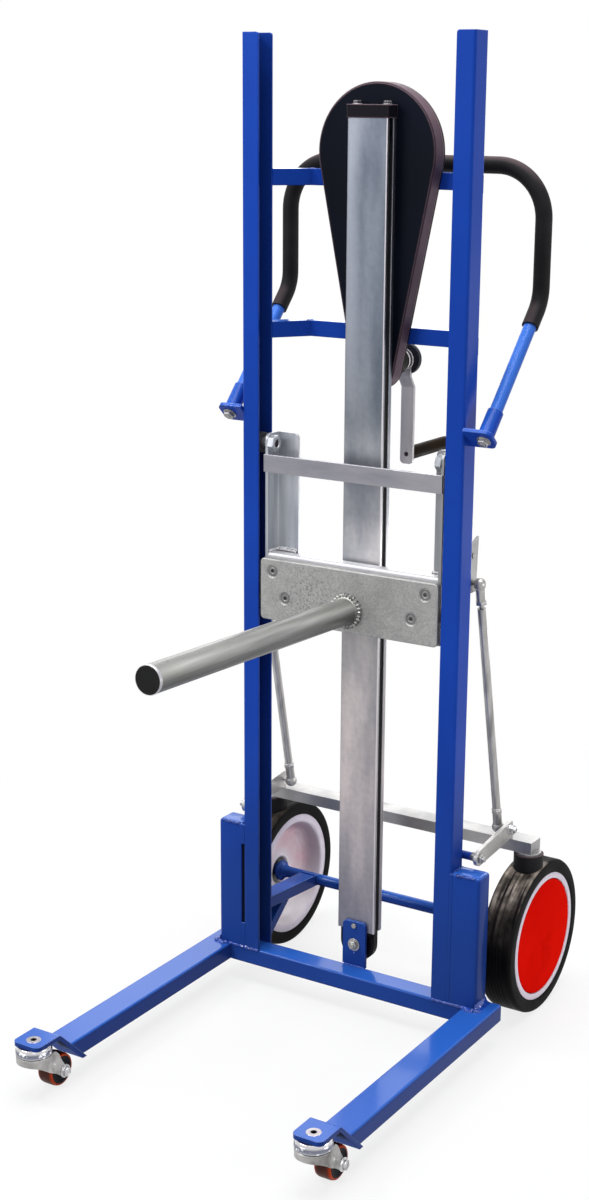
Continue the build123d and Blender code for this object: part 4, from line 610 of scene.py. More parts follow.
def cover_plastic():
    """The drive cover: a blue-black front, side walls with a painted brownish sheen, and a painted highlight
    on the edges.
    """
    finish = Finish("drive_cover_plastic", IOR=1.45, Specular_IOR_Level=0.04)
    front = finish.clouds(srgb(16, 21, 33), srgb(11, 14, 23), Scale=8.0, Contrast=2.0)
    wall = finish.clouds(srgb(112, 92, 102), srgb(72, 58, 66), Scale=9.0, Contrast=2.0)
    edges = finish.use(EDGES, Radius=0.003, Sharpness=2.6)
    frontal = finish.math("ABSOLUTE", finish.facing()["Y"])
    # Painted sheen: faces that don't look forward or back take the lighter wall colour
    colour = finish.blend(finish.rise(frontal, 0.9, 0.3), front["Colour"], wall["Colour"])
    # Painted highlight along the rounded edges
    colour = finish.cover(edges["Mask"], 0.9, colour, srgb(206, 166, 174))
    return finish.done(colour, (0.34, 0.5), (0.2, 0.0002), edges, front["Mask"], Scale=700.0, Detail=3.0)


def crank_grip_plastic():
    """The crank's grip: brownish black and dull."""
    finish = Finish("brown_black_grip", IOR=1.45, Specular_IOR_Level=0.02)
    tone = finish.clouds(srgb(31, 21, 13), srgb(17, 11, 7), Scale=30.0, Contrast=2.2)
    edges = finish.use(EDGES, Radius=0.0012, Sharpness=2.0)
    colour = finish.cover(edges["Mask"], 0.4, tone["Colour"], srgb(86, 68, 54))
    moulded = {"Scale": 520.0, "Stretch": (1, 0.3, 1), "Detail": 3.0}
    return finish.done(colour, (0.36, 0.55), (0.25, 0.0002), edges, tone["Mask"], **moulded)


def bright_zinc(name, light, dark, stretch, metallic, right=1.0):
    """Zinc with runs of tone along one direction and painted glints on its edges; right is how much colour
    the lift's right side keeps under painted shade.
    """
    finish = Finish(name, Metallic=metallic, Specular_IOR_Level=0.4)
    tone = finish.clouds(light, dark, Scale=16.0, Stretch=stretch, Contrast=2.8)
    edges = finish.use(EDGES, Radius=0.0014, Sharpness=2.5)
    marks = finish.use(SPECKS, Scale=150.0, Size=0.16, Amount=0.06)
    colour = finish.cover(marks["Mask"], 0.5, tone["Colour"], (0.16, 0.16, 0.18, 1))
    # Painted glints along the edges
    colour = finish.cover(edges["Mask"], 0.7, colour, (0.86, 0.85, 0.87, 1))
    # Painted shade on the lift's right side, set by right
    other = finish.tint(colour, grey(right))
    colour = finish.blend(finish.rise(finish.place()["X"], 0.0, 0.01), colour, other)
    return finish.done(colour, (0.46, 0.28), (0.2, 0.0002), edges, tone["Mask"], Scale=420.0, Stretch=stretch)


CASTER_HEIGHT = 0.1


def caster_chrome():
    """The upper ball race: a white upper ring over a dark mirror band, painted reflections full of painted
    glints, with painted shade in the pin's socket.
    """
    finish = Finish("caster_race_chrome", Metallic=1.0)
    # Painted reflections by height
    bands = finish.ramp(
        finish.math("DIVIDE", finish.place()["Z"], CASTER_HEIGHT),
        [
            (0.72, (0.1, 0.1, 0.12, 1)),
            (0.74, (0.5, 0.5, 0.54, 1)),
            (0.76, (0.22, 0.23, 0.29, 1)),
            (0.8, (0.17, 0.18, 0.23, 1)),
            (0.825, (0.6, 0.59, 0.61, 1)),
            (0.86, (0.64, 0.62, 0.63, 1)),
            (0.93, (0.6, 0.57, 0.58, 1)),
        ],
    )
    # Painted glints
    glints = finish.use(CLOUDING, Scale=150.0, Contrast=3.0)
    colour = finish.blend(finish.rise(glints["Mask"], 0.72, 0.95), bands, (0.95, 0.95, 0.97, 1))
    plate = finish.clouds((0.34, 0.32, 0.34, 1), (0.25, 0.235, 0.25, 1), Scale=200.0, Contrast=2.0)
    colour = finish.blend(finish.rise(finish.facing()["Z"], 0.6, 0.9), colour, plate["Colour"])
    place = finish.place()
    across = finish.math("SUBTRACT", finish.math("ABSOLUTE", place["X"]), KING_PIN_X * MM)
    along = finish.math("ADD", place["Y"], -KING_PIN_Y * MM)
    square = finish.math("ADD", finish.both(across, across), finish.both(along, along))
    # Painted shade in the king pin's socket
    socket = finish.rise(finish.math("SQRT", square), 0.0052, 0.0046)
    colour = finish.blend(socket, colour, (0.015, 0.015, 0.02, 1))
    edges = finish.use(EDGES, Radius=0.0006, Sharpness=2.5)
    return finish.done(colour, (0.12, 0.3), (0.25, 0.0006), edges, Scale=120.0)


def weld_paint():
    """The same paint, thick and glossy, where it has run over a weld, with painted glints."""
    gloss = {"Coat_Weight": 0.2, "Coat_Roughness": 0.06}
    finish = Finish("blue_paint_on_weld", IOR=1.45, Specular_IOR_Level=0.5, **gloss)
    tone = finish.clouds(srgb(34, 76, 178), srgb(20, 50, 128), Scale=90.0, Contrast=2.0)
    # Painted glints
    glints = finish.use(SPECKS, Scale=300.0, Size=0.4, Amount=0.09)
    colour = finish.cover(glints["Mask"], 0.9, tone["Colour"], srgb(236, 230, 255))
    return finish.done(colour, (0.08, 0.2), (0.7, 0.001), Scale=160.0, Detail=3.0)


PIN_SHOULDER = (0.2094, 0.2098)


def pivot_pin():
    """Frame blue on a brake pin's thick part, bare zinc on the threaded stud past it."""
    finish = Finish("pivot_pin_paint", IOR=1.45, Specular_IOR_Level=0.25)
    stud = finish.rise(finish.math("ABSOLUTE", finish.place()["X"]), *PIN_SHOULDER)
    tone = finish.clouds(srgb(34, 72, 170), srgb(20, 46, 120), Scale=30.0, Contrast=2.0)
    colour = finish.blend(stud, tone["Colour"], (0.39, 0.385, 0.38, 1))
    finish.give("Metallic", finish.scale(stud, 0.85))
    return finish.done(colour, (0.2, 0.34), (0.15, 0.0002), Scale=300.0)


DISC_STACK_Y = (0.25, 0.263)


def disc_stack():
    """The crank's load brake: two bright discs with a black lining between them."""
    finish = Finish("brake_disc_stack", Specular_IOR_Level=0.3)
    disc = (0.7, 0.66, 0.66, 1)
    lining = (0.008, 0.008, 0.01, 1)
    bands = finish.ramp(
        finish.rise(finish.place()["Y"], *DISC_STACK_Y),
        [(0.0, disc), (0.22, disc), (0.26, lining), (0.74, lining), (0.78, disc), (1.0, disc)],
    )
    finish.give("Metallic", finish.scale(bands, 0.8))
    return finish.done(bands, (0.3, 0.45), (0.2, 0.0002), Scale=600.0, Stretch=(1, 0.1, 1))


def weld_metal():
    """Bare weld metal: dark in the valleys, bright on the crests."""
    finish = Finish("bare_weld_metal", Metallic=0.8, Specular_IOR_Level=0.5)
    tone = finish.clouds((0.5, 0.5, 0.48, 1), grey(0.1), Scale=240.0, Contrast=3.5)
    return finish.done(tone["Colour"], (0.25, 0.5), (0.6, 0.0008), Scale=260.0, Detail=3.0)


FINISHES = {
    "blue_paint": blue_paint("blue_powder_coat", srgb(32, 76, 184), srgb(26, 64, 160), srgb(38, 88, 176)),
    "zinc": zinc(),
    "galvanised": galvanised(),
    "aluminium": aluminium(),
    "black_plastic": black_plastic("moulded_black", srgb(24, 26, 34), srgb(14, 15, 21), srgb(110, 94, 104)),
    "black_rubber": black_rubber(),
    "tyre": tyre_rubber(),
    "rim_plastic": rim_plastic(),
    "red_plastic": red_plastic(),
    "orange_rubber": orange_rubber(),
    "dark_steel": dark_steel(),
    "roller_plastic": roller_plastic(),
}
WELD_PAINT = weld_paint()
WELD_METAL = weld_metal()
CHROME = caster_chrome()
BOLT_CHROME = bright_zinc("caster_bolt_zinc", (0.75, 0.75, 0.76, 1), (0.2, 0.2, 0.22, 1), (8, 8, 8), 0.9)
FORK_ZINC = bright_zinc("pressed_fork_zinc", (0.5, 0.49, 0.48, 1), (0.17, 0.165, 0.16, 1), (2, 2, 2), 0.75)
SCREW_ZINC = bright_zinc("screw_zinc", grey(0.22), grey(0.12), (3, 3, 3), 0.8)
# The carriage angles keep half their colour on the lift's right side: painted shade
ANGLE_ZINC = bright_zinc(
    "carriage_angle_zinc", (0.66, 0.68, 0.71, 1), (0.33, 0.35, 0.4, 1), (2.4, 2.4, 0.2), 0.6, right=0.5
)
BOLT_ZINC = bright_zinc("dark_bolt_zinc", (0.1, 0.085, 0.1, 1), (0.03, 0.025, 0.03, 1), (3, 3, 3), 0.6)
SPRING_ZINC = bright_zinc(
    "gas_spring_zinc", (0.49, 0.48, 0.465, 1), (0.25, 0.245, 0.24, 1), (6, 6, 0.5), 0.75
)
BRAKE_ZINC = bright_zinc("brake_arm_zinc", (0.56, 0.55, 0.53, 1), (0.4, 0.39, 0.38, 1), (2, 2, 2), 0.55)
CRANK_ZINC = bright_zinc("crank_arm_zinc", (0.38, 0.365, 0.38, 1), (0.24, 0.23, 0.265, 1), (2, 2, 0.3), 0.8)
CROSS_ZINC = bright_zinc("cross_member_zinc", (0.58, 0.58, 0.59, 1), (0.44, 0.43, 0.47, 1), (0.3, 2, 2), 0.4)
BAR_ZINC = bright_zinc("upper_bar_zinc", (0.33, 0.32, 0.35, 1), (0.21, 0.21, 0.24, 1), (0.5, 2, 2), 0.8)
NODE_FINISHES = {
    # The handle's blue is a lit copy of the frame's paint: painted light
    "push_handle": blue_paint("handle_blue_painted_light", srgb(62, 112, 206), srgb(46, 94, 190), srgb(66, 118, 210)),
    "brake_pivot_pins": pivot_pin(),
    "brake_arms": BRAKE_ZINC,
    "spring_cylinders": SPRING_ZINC,
    "spring_rods": SPRING_ZINC,
    "boom_end_plug": black_plastic("plug_black", srgb(42, 42, 42), srgb(33, 33, 33), srgb(60, 60, 60)),
    # The cap's pale pink edge colour is a painted highlight
    "column_cap": black_plastic("cap_black", srgb(26, 24, 32), srgb(15, 14, 20), srgb(216, 182, 194)),
    "drive_mounting_plate": black_plastic(
        "plate_black", srgb(20, 19, 20), srgb(12, 11, 12), srgb(70, 64, 66)
    ),
    "crank_hub": black_plastic("hub_grey", srgb(62, 62, 70), srgb(46, 46, 52), srgb(96, 96, 106)),
    "brake_discs": disc_stack(),
    "drive_cover": cover_plastic(),
    "boom_tube": boom_steel(),
    "crank_grip": crank_grip_plastic(),
    "crank_arm": CRANK_ZINC,
    "carriage_angles": ANGLE_ZINC,
    "carriage_cross_member": CROSS_ZINC,
    "carriage_upper_bar": BAR_ZINC,
}


def dress_cad_nodes():
    """Every CAD node takes its own finish, or that of its slot."""
    for part in frame["record"]["subparts"]:
        mesh = nodes[part["node"]].data
        mesh.materials.clear()
        mesh.materials.append(NODE_FINISHES.get(part["node"], FINISHES[part["material_slot"]]))


dress_cad_nodes()


# Making pieces

def carry(name, mesh, body, slot, replaced=(), finish=None, sharp=38.0):
    """Gives a mesh its finish and lets it ride on a body of the frame."""
    mesh.materials.clear()
    mesh.materials.append(finish or FINISHES[slot])
    mesh.shade_smooth()
    mesh.set_sharp_from_angle(angle=math.radians(sharp))
    made = bpy.data.objects.new(name, mesh)
    scene.collection.objects.link(made)
    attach(made, body)
    if replaced:
        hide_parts(*replaced)


def close_up(name, shape, body, slot, replaced=(), finish=None, sharp=38.0):
    """Ends a shape drawn in millimetres: doubles merged, faces outwards, sized in metres."""
    bmesh.ops.remove_doubles(shape, verts=shape.verts[:], dist=0.005)
    bmesh.ops.recalc_face_normals(shape, faces=shape.faces[:])
    bmesh.ops.scale(shape, vec=(MM, MM, MM), verts=shape.verts[:])
    mesh = bpy.data.meshes.new(name)
    shape.to_mesh(mesh)
    shape.free()
    carry(name, mesh, body, slot, replaced, finish, sharp)


def mirror_half(half):
    """A closed outline from one half of it and the same points on the other side."""
    return half + [(-along, out) for along, out in reversed(half)]


def soften(outline, size, steps=3):
    """Rounds the corners of a closed outline of (along, out) points; the axis itself stays."""
    soft = []
    for index, point in enumerate(outline):
        corner = Vector(point)
        before = Vector(outline[index - 1]) - corner
        after = Vector(outline[(index + 1) % len(outline)]) - corner
        if corner.y < 0.01:
            soft.append((corner.x, corner.y))
            continue
        start = corner + before.normalized() * min(size, before.length * 0.45)
        end = corner + after.normalized() * min(size, after.length * 0.45)
        for step in range(steps + 1):
            share = step / steps
            bent = start.lerp(corner, share).lerp(corner.lerp(end, share), share)
            soft.append((bent.x, bent.y))
    return soft


def directions(axis):
    """An axis as a unit vector, and two across it."""
    axis = Vector(axis).normalized()
    side = axis.orthogonal().normalized()
    return axis, side, axis.cross(side)


def lathe(shape, outline, origin, axis, segments, six=()):
    """Turns a closed outline about an axis; the points numbered in six get a hexagon ring."""
    axis, side, other = directions(axis)
    rings = []
    for index, (along, out) in enumerate(outline):
        centre = Vector(origin) + axis * along
        if out < 0.01:
            rings.append([shape.verts.new(centre)])
            continue
        ring = []
        for step in range(segments):
            turn = 2 * math.pi * step / segments
            reach = out
            if index in six:
                reach = out / math.cos((turn + math.pi / 6) % (math.pi / 3) - math.pi / 6)
            ring.append(shape.verts.new(centre + reach * (math.cos(turn) * side + math.sin(turn) * other)))
        rings.append(ring)
    for first, second in zip(rings, rings[1:] + rings[:1]):
        for step in range(segments):
            after = (step + 1) % segments
            corners = [first[step % len(first)], first[after % len(first)]]
            corners += [second[after % len(second)], second[step % len(second)]]
            corners = list(dict.fromkeys(corners))
            if len(corners) > 2:
                shape.faces.new(corners)


def turned(name, outline, origin, axis, segments, body, slot, replaced=(), finish=None):
    """A piece of one outline turned about an axis."""
    shape = bmesh.new()
    lathe(shape, outline, origin, axis, segments)
    close_up(name, shape, body, slot, replaced, finish)


def skin(shape, sections):
    """Joins closed sections of equal count, with a face over each end."""
    for first, second in zip(sections, sections[1:]):
        for step in range(len(first)):
            after = (step + 1) % len(first)
            shape.faces.new((first[step], first[after], second[after], second[step]))
    shape.faces.new(sections[0])
    shape.faces.new(sections[-1])


def block(shape, low, high):
    """A box between two corners, part of a larger piece."""
    made = bmesh.ops.create_cube(shape, size=1.0)["verts"]
    size = Vector(high) - Vector(low)
    bmesh.ops.scale(shape, vec=size, verts=made)
    bmesh.ops.translate(shape, vec=Vector(low) + size / 2, verts=made)
    return made


# Geometry Nodes trees for what repeats or follows a line

def geometry_tree(name, sizes):
    """An empty Geometry Nodes tree with named sizes; gives the tree, its inputs and its output."""
    tree = bpy.data.node_groups.new(name, "GeometryNodeTree")
    tree.interface.new_socket("Seed", in_out="INPUT", socket_type="NodeSocketGeometry")
    for label, value in sizes.items():
        socket = tree.interface.new_socket(label, in_out="INPUT", socket_type="NodeSocketFloat")
        socket.default_value = value
    tree.interface.new_socket("Finish", in_out="INPUT", socket_type="NodeSocketMaterial")
    tree.interface.new_socket("Result", in_out="OUTPUT", socket_type="NodeSocketGeometry")
    given = tree.nodes.new("NodeGroupInput").outputs
    made = tree.nodes.new("NodeGroupOutput").inputs
    return tree, given, made


def end_tree(tree, given, made, geometry):
    """Realizes what the tree has made and gives it its finish."""
    real = put(tree, "GeometryNodeRealizeInstances", {"Geometry": geometry}).outputs[0]
    dressed = put(tree, "GeometryNodeSetMaterial", {"Geometry": real, "Material": given["Finish"]})
    tree.links.new(dressed.outputs[0], made[0])


def point_value(tree, label):
    """What the points of the seed carry under a name."""
    return put(tree, "GeometryNodeInputNamedAttribute", {"Name": label}, data_type="FLOAT_VECTOR").outputs[0]


def along_axis(tree):
    """The turn that stands a shape along its point's axis."""
    inputs = {"Vector": point_value(tree, "axis")}
    return put(tree, "FunctionNodeAlignRotationToVector", inputs, axis="Z").outputs[0]


def grow(name, tree, seed, body, slot, sizes=None, replaced=(), finish=None):
    """Runs a tree on a seed mesh and keeps its result as a plain mesh."""
    grower = bpy.data.objects.new(name + "_seed", seed)
    scene.collection.objects.link(grower)
    modifier = grower.modifiers.new("grow", "NODES")
    modifier.node_group = tree
    for item in tree.interface.items_tree:
        if item.name in (sizes or {}):
            modifier[item.identifier] = float(sizes[item.name])
        if item.name == "Finish":
            modifier[item.identifier] = finish or FINISHES[slot]
    graph = bpy.context.evaluated_depsgraph_get()
    mesh = bpy.data.meshes.new_from_object(grower.evaluated_get(graph), depsgraph=graph)
    grower.modifiers.remove(modifier)
    bpy.data.objects.remove(grower)
    mesh.name = name
    carry(name, mesh, body, slot, replaced, finish)


def weld_tree():
    """A rippled weld bead along the edges of the seed."""
    sizes = {"Radius": 0.0025, "Ripple": 0.004, "Depth": 0.1, "Spacing": 0.0008}
    tree, given, made = geometry_tree("weld bead", sizes)
    line = put(tree, "GeometryNodeMeshToCurve", {"Mesh": given["Seed"]}).outputs[0]
    line = put(tree, "GeometryNodeResampleCurve", {"Curve": line, "Length": given["Spacing"]}, mode="LENGTH")
    run = put(tree, "GeometryNodeSplineParameter").outputs
    waves = math_node(tree, "DIVIDE", run["Length"], given["Ripple"])
    ripple = math_node(tree, "SINE", math_node(tree, "MULTIPLY", waves, 2 * math.pi))
    ripple = math_node(tree, "MULTIPLY", ripple, given["Depth"])
    place = put(tree, "GeometryNodeInputPosition").outputs[0]
    lumps = put(tree, "ShaderNodeTexNoise", {"Vector": place, "Scale": 140.0, "Detail": 2.0})
    uneven = spread(tree, lumps.outputs[0], 0.55, 1.45)
    width = math_node(tree, "ADD", uneven, ripple)
    round_line = put(tree, "GeometryNodeCurvePrimitiveCircle", {"Resolution": 10, "Radius": given["Radius"]})
    inputs = {"Curve": line.outputs[0], "Profile Curve": round_line.outputs[0], "Scale": width}
    bead = put(tree, "GeometryNodeCurveToMesh", {**inputs, "Fill Caps": True})
    end_tree(tree, given, made, bead.outputs[0])
    return tree


def bolt_tree():
    """Bolts on the points of the seed: washer, chamfered hexagon, shank and thread end."""
    tree, given, made = geometry_tree("hexagon bolts", {"Chamfer": 0.16})

    def height(label):
        """How high a part of the bolt is."""
        return put(tree, "ShaderNodeSeparateXYZ", {0: point_value(tree, label)}).outputs[2]

    def moved(geometry, by):
        """A shape moved along its own axis."""
        lift = put(tree, "ShaderNodeCombineXYZ", {2: by})
        inputs = {"Geometry": geometry, "Translation": lift.outputs[0]}
        return put(tree, "GeometryNodeTransform", inputs).outputs[0]

    def stand(points, shape, label):
        """A part of the bolt on every point that has one."""
        inputs = {
            "Points": points,
            "Selection": math_node(tree, "GREATER_THAN", height(label), 0.00001),
            "Instance": shape,
            "Rotation": along_axis(tree),
            "Scale": point_value(tree, label),
        }
        return put(tree, "GeometryNodeInstanceOnPoints", inputs).outputs[0]

    def lifted(points, label):
        """The points on top of a part of the bolt."""
        inputs = {0: point_value(tree, "axis"), "Scale": height(label)}
        rise = put(tree, "ShaderNodeVectorMath", inputs, operation="SCALE")
        inputs = {"Geometry": points, "Offset": rise.outputs[0]}
        return put(tree, "GeometryNodeSetPosition", inputs).outputs[0]

    def cylinder(vertices, depth):
        """A cylinder of radius 1."""
        inputs = {"Vertices": vertices, "Radius": 1.0, "Depth": depth}
        return put(tree, "GeometryNodeMeshCylinder", inputs).outputs[0]

    def cone(vertices, top, depth):
        """A cut cone, of radius 1 below."""
        inputs = {"Vertices": vertices, "Radius Top": top, "Radius Bottom": 1.0, "Depth": depth}
        return put(tree, "GeometryNodeMeshCone", inputs).outputs[0]

    straight = math_node(tree, "SUBTRACT", 1.0, given["Chamfer"])
    hexagon = moved(cylinder(6, straight), math_node(tree, "MULTIPLY", straight, 0.5))
    crown = moved(cone(6, 0.86, given["Chamfer"]), straight)
    head = put(tree, "GeometryNodeJoinGeometry").inputs[0]
    tree.links.new(hexagon, head)
    tree.links.new(crown, head)
    disc = cylinder(32, 1.0)
    on_washer = lifted(given["Seed"], "washer")
    on_head = lifted(on_washer, "head")
    parts = put(tree, "GeometryNodeJoinGeometry").inputs[0]
    tree.links.new(stand(given["Seed"], moved(disc, 0.5), "washer"), parts)
    tree.links.new(stand(given["Seed"], moved(disc, -0.5), "shank"), parts)
    tree.links.new(stand(on_washer, head.node.outputs[0], "head"), parts)
    tree.links.new(stand(on_head, cone(24, 0.82, 1.0), "stud"), parts)
    end_tree(tree, given, made, parts.node.outputs[0])
    return tree


def screw_tree():
    """Countersunk screws on the points of the seed: a flat head below the surface, with a hexagon socket."""
    sizes = {"Head": 0.011, "Socket": 0.0046, "Deep": 0.004, "Sunk": 0.001}
    tree, given, made = geometry_tree("socket screws", sizes)
    depth = 0.006
    taper = math_node(tree, "SUBTRACT", given["Head"], depth)
    inputs = {"Vertices": 48, "Radius Top": given["Head"], "Radius Bottom": taper, "Depth": depth}
    cone = put(tree, "GeometryNodeMeshCone", inputs)
    sunk = put(tree, "GeometryNodeTransform", {"Geometry": cone.outputs[0], "Translation": (0, 0, -0.0059)})
    twice = math_node(tree, "MULTIPLY", given["Deep"], 2.0)
    inputs = {"Vertices": 6, "Radius": given["Socket"], "Depth": twice}
    hexagon = put(tree, "GeometryNodeMeshCylinder", inputs)
    cut = put(tree, "GeometryNodeMeshBoolean", {"Mesh 1": sunk.outputs[0]}, operation="DIFFERENCE")
    tree.links.new(hexagon.outputs[0], cut.inputs["Mesh 2"])
    whole = put(tree, "GeometryNodeJoinGeometry").inputs[0]
    tree.links.new(cut.outputs[0], whole)
    for share in (0.98, 0.55):
        reach = math_node(tree, "MULTIPLY", given["Head"], share)
        circle = put(tree, "GeometryNodeCurvePrimitiveCircle", {"Resolution": 48, "Radius": reach})
        round_line = put(tree, "GeometryNodeCurvePrimitiveCircle", {"Resolution": 8, "Radius": 0.0003})
        inputs = {"Curve": circle.outputs[0], "Profile Curve": round_line.outputs[0]}
        tree.links.new(put(tree, "GeometryNodeCurveToMesh", inputs).outputs[0], whole)
    lowered = put(tree, "ShaderNodeCombineXYZ", {"Z": math_node(tree, "MULTIPLY", given["Sunk"], -1.0)})
    inputs = {"Geometry": whole.node.outputs[0], "Translation": lowered.outputs[0]}
    placed = put(tree, "GeometryNodeTransform", inputs).outputs[0]
    inputs = {"Points": given["Seed"], "Instance": placed, "Rotation": along_axis(tree)}
    screws = put(tree, "GeometryNodeInstanceOnPoints", inputs)
    end_tree(tree, given, made, screws.outputs[0])
    return tree


WELDS = weld_tree()
BOLTS = bolt_tree()
SCREWS = screw_tree()


def seed_lines(name, lines):
    """A mesh of edges along lines given in millimetres."""
    points = []
    edges = []
    for line in lines:
        first = len(points)
        points += [Vector(point) * MM for point in line]
        edges += [(index, index + 1) for index in range(first, len(points) - 1)]
    mesh = bpy.data.meshes.new(name)
    mesh.from_pydata(points, edges, [])
    return mesh


def weld(name, lines, body, slot, finish, **sizes):
    """Weld beads along lines given in millimetres."""
    grow(name, WELDS, seed_lines(name, lines), body, slot, sizes, finish=finish)


def painted_weld(name, lines, **sizes):
    """Weld beads of the frame, under its paint."""
    weld(name, lines, "frame", "blue_paint", WELD_PAINT, **sizes)


def bolt(place, axis, head=(0, 0), washer=(0, 0), shank=(0, 0), stud=(0, 0)):
    """One bolt: its place, its direction, then radius and height of each part in millimetres."""
    sizes = {"head": head, "washer": washer, "shank": shank, "stud": stud}
    row = {label: Vector((out, out, high)) * MM for label, (out, high) in sizes.items()}
    row["place"] = Vector(place) * MM
    row["axis"] = Vector(axis).normalized()
    return row


def seed_bolts(name, rows):
    """A mesh of loose points that carry the direction and the sizes of their bolts."""
    mesh = bpy.data.meshes.new(name)
    mesh.from_pydata([row["place"] for row in rows], [], [])
    for label in ("axis", "head", "washer", "shank", "stud"):
        values = mesh.attributes.new(label, "FLOAT_VECTOR", "POINT")
        for index, row in enumerate(rows):
            values.data[index].vector = row[label]
    return mesh


def bolts(name, rows, body, replaced=(), finish=None):
    """Bolts and nuts that ride on one body."""
    grow(name, BOLTS, seed_bolts(name + "_seed", rows), body, "zinc", None, replaced, finish)


# Rear wheels

def tyre_outline():
    """The tyre's section: flat side walls, round shoulders and a tread with five shallow grooves."""
    outline = [(219, RIM_OUT), (219, 125), (220.5, 128.5), (224, 130)]
    for groove in range(5):
        middle = 234.6 + 6.2 * groove
        outline += [(middle - 0.9, 130), (middle - 0.4, 129.2), (middle + 0.4, 129.2), (middle + 0.9, 130)]
    outline += [(270, 130), (273.5, 128.5), (275, 125), (275, 113), (274.3, 111), (274.3, RIM_OUT)]
    return outline


RIM_OUTLINE = [
    (219.5, RIM_OUT), (219.5, 96), (221, 93.5), (227, 91), (236, 87), (243, 81), (247.5, 72), (249.6, 60),
    (249.5, 30), (248.4, 27.5), (249, 25), (253, 23.5), (255, 21), (255, 10.2), (261.7, 10.2), (261.7, 22),
    (256, 28), (256, 66), (254, 78), (248, 87), (236, 94.5), (232, 98), (274.5, 98), (274.5, RIM_OUT),
]
CAP_OUTLINE = [(268, 0), (268, 96.6), (272.6, 96.9), (274.1, 95.8), (274.6, 93.6), (274.9, 60), (275, 0)]
FLARE_OUTLINE = [(243.4, 9), (243.4, 18), (241.6, 18), (240, 15.4), (237, 12.4), (232, 10.6), (228, 9)]


def rear_wheels():
    """Tyre, bowl-shaped rim and round cap of each rear wheel."""
    pieces = (
        ("tyre", soften(tyre_outline(), 0.5, 2), 144, "tyre", "_tyre"),
        ("rim", soften(RIM_OUTLINE, 1.4), 120, "rim_plastic", "_rim"),
        ("disc", soften(CAP_OUTLINE, 0.8), 120, "red_plastic", "_wheel_cap"),
    )
    for name, side in SIDES:
        wheel = name + "_wheel"
        for piece, outline, segments, slot, node in pieces:
            made = f"{wheel}_{piece}"
            turned(made, outline, WHEEL_CENTRE, (side, 0, 0), segments, wheel, slot, [name + node])


def axle_flares():
    """The blue axle widens into its collar beside each hub."""
    shape = bmesh.new()
    for side in BOTH_SIDES:
        lathe(shape, soften(FLARE_OUTLINE, 1.0, 2), WHEEL_CENTRE, (side, 0, 0), 64)
    close_up("axle_flares", shape, "frame", "blue_paint")


# Casters

CASTER_AXLE_Y = -343
CASTER_OUT = 26
CASTER_CHEEK = 19.7
# Race, cap and king pin from below to the pin's socket; two of its points are a hexagon
HEAD_OUTLINE = [
    (58, 0), (58, 8), (61.7, 9), (61.7, 5.1), (75.3, 5.1), (75.3, 24.4), (72.5, 24.8), (72.3, 26.4),
    (73.2, 27.4), (75.5, 27.9), (80.4, 27.6), (82, 26.4), (83, 26.6), (86, 26.2), (87, 25.2), (87, 23),
    (87, 5), (87.6, 5), (93.7, 11.3), (94.15, 11), (94.15, 3.8), (93.6, 3.1), (90, 2.9), (89.4, 0),
]
HEAD_SOCKET = (20, 21)
TREAD_OUTLINE = mirror_half([(-13.4, 20), (-13.4, 23.6), (-12.4, 25), (-8.5, CASTER_OUT)])
HUB_OUTLINE = mirror_half(
    [(-15.3, 4.3), (-15.3, 8), (-12, 9.6), (-11.6, 12), (-12.4, 18.6), (-13.7, 19.4), (-13.7, 22)]
)


def casters():
    """Upper ball races with their socket pins, and the two-part caster wheels with their bolts."""
    across = (1, 0, 0)
    heads = bmesh.new()
    for name, side in SIDES:
        lathe(heads, HEAD_OUTLINE, (side * KING_PIN_X, KING_PIN_Y, 0), (0, 0, 1), 96, HEAD_SOCKET)
        caster = name + "_caster"
        roller = caster + "_roller"
        centre = (side * KING_PIN_X, CASTER_AXLE_Y, CASTER_OUT)
        tread = soften(TREAD_OUTLINE, 1.2)
        turned(caster + "_tread", tread, centre, across, 96, roller, "orange_rubber", [caster + "_wheel"])
        turned(caster + "_hub", soften(HUB_OUTLINE, 0.7), centre, across, 72, roller, "black_plastic")
        rows = []
        for end in BOTH_SIDES:
            place = (side * KING_PIN_X + end * CASTER_CHEEK, CASTER_AXLE_Y, CASTER_OUT)
            rows.append(bolt(place, (end, 0, 0), head=(8.2, 5.3), washer=(10.5, 1.2), shank=(4, 19)))
        bolts(caster + "_bolt", rows, caster, finish=BOLT_CHROME)
    close_up("caster_races", heads, "frame", "zinc", ["caster_heads"], CHROME)


# Lower and upper edge of a fork's wall at places along it, all from the king pin
FORK_EDGES = [
    (-27.2, 59.5, 71.9), (-18, 57.5, 71.9), (-10, 53.5, 71.9), (2, 45.5, 71.8), (17, 35.5, 71),
    (25, 30.6, 69.4), (29, 28, 67), (34, 24.6, 61), (40, 19.5, 48.5), (45, 16.4, 40), (49, 15.6, 34.5),
    (52, 17, 31), (54, 21.5, 27),
]
FORK_OUT = 27.2
FORK_SHEET = 3
FORK_NARROWS = 7.4
FORK_NARROW_RUN = 27
FORK_SEAT = [(62, 5.6), (62, 21), (64, 24.2), (71.2, 24.2), (71.2, 5.6)]


def fork_edges(along):
    """Lower and upper edge of the fork's wall at a place along it."""
    for before, after in zip(FORK_EDGES, FORK_EDGES[1:]):
        if along <= after[0]:
            break
    share = (along - before[0]) / (after[0] - before[0])
    return [before[index] + share * (after[index] - before[index]) for index in (1, 2)]


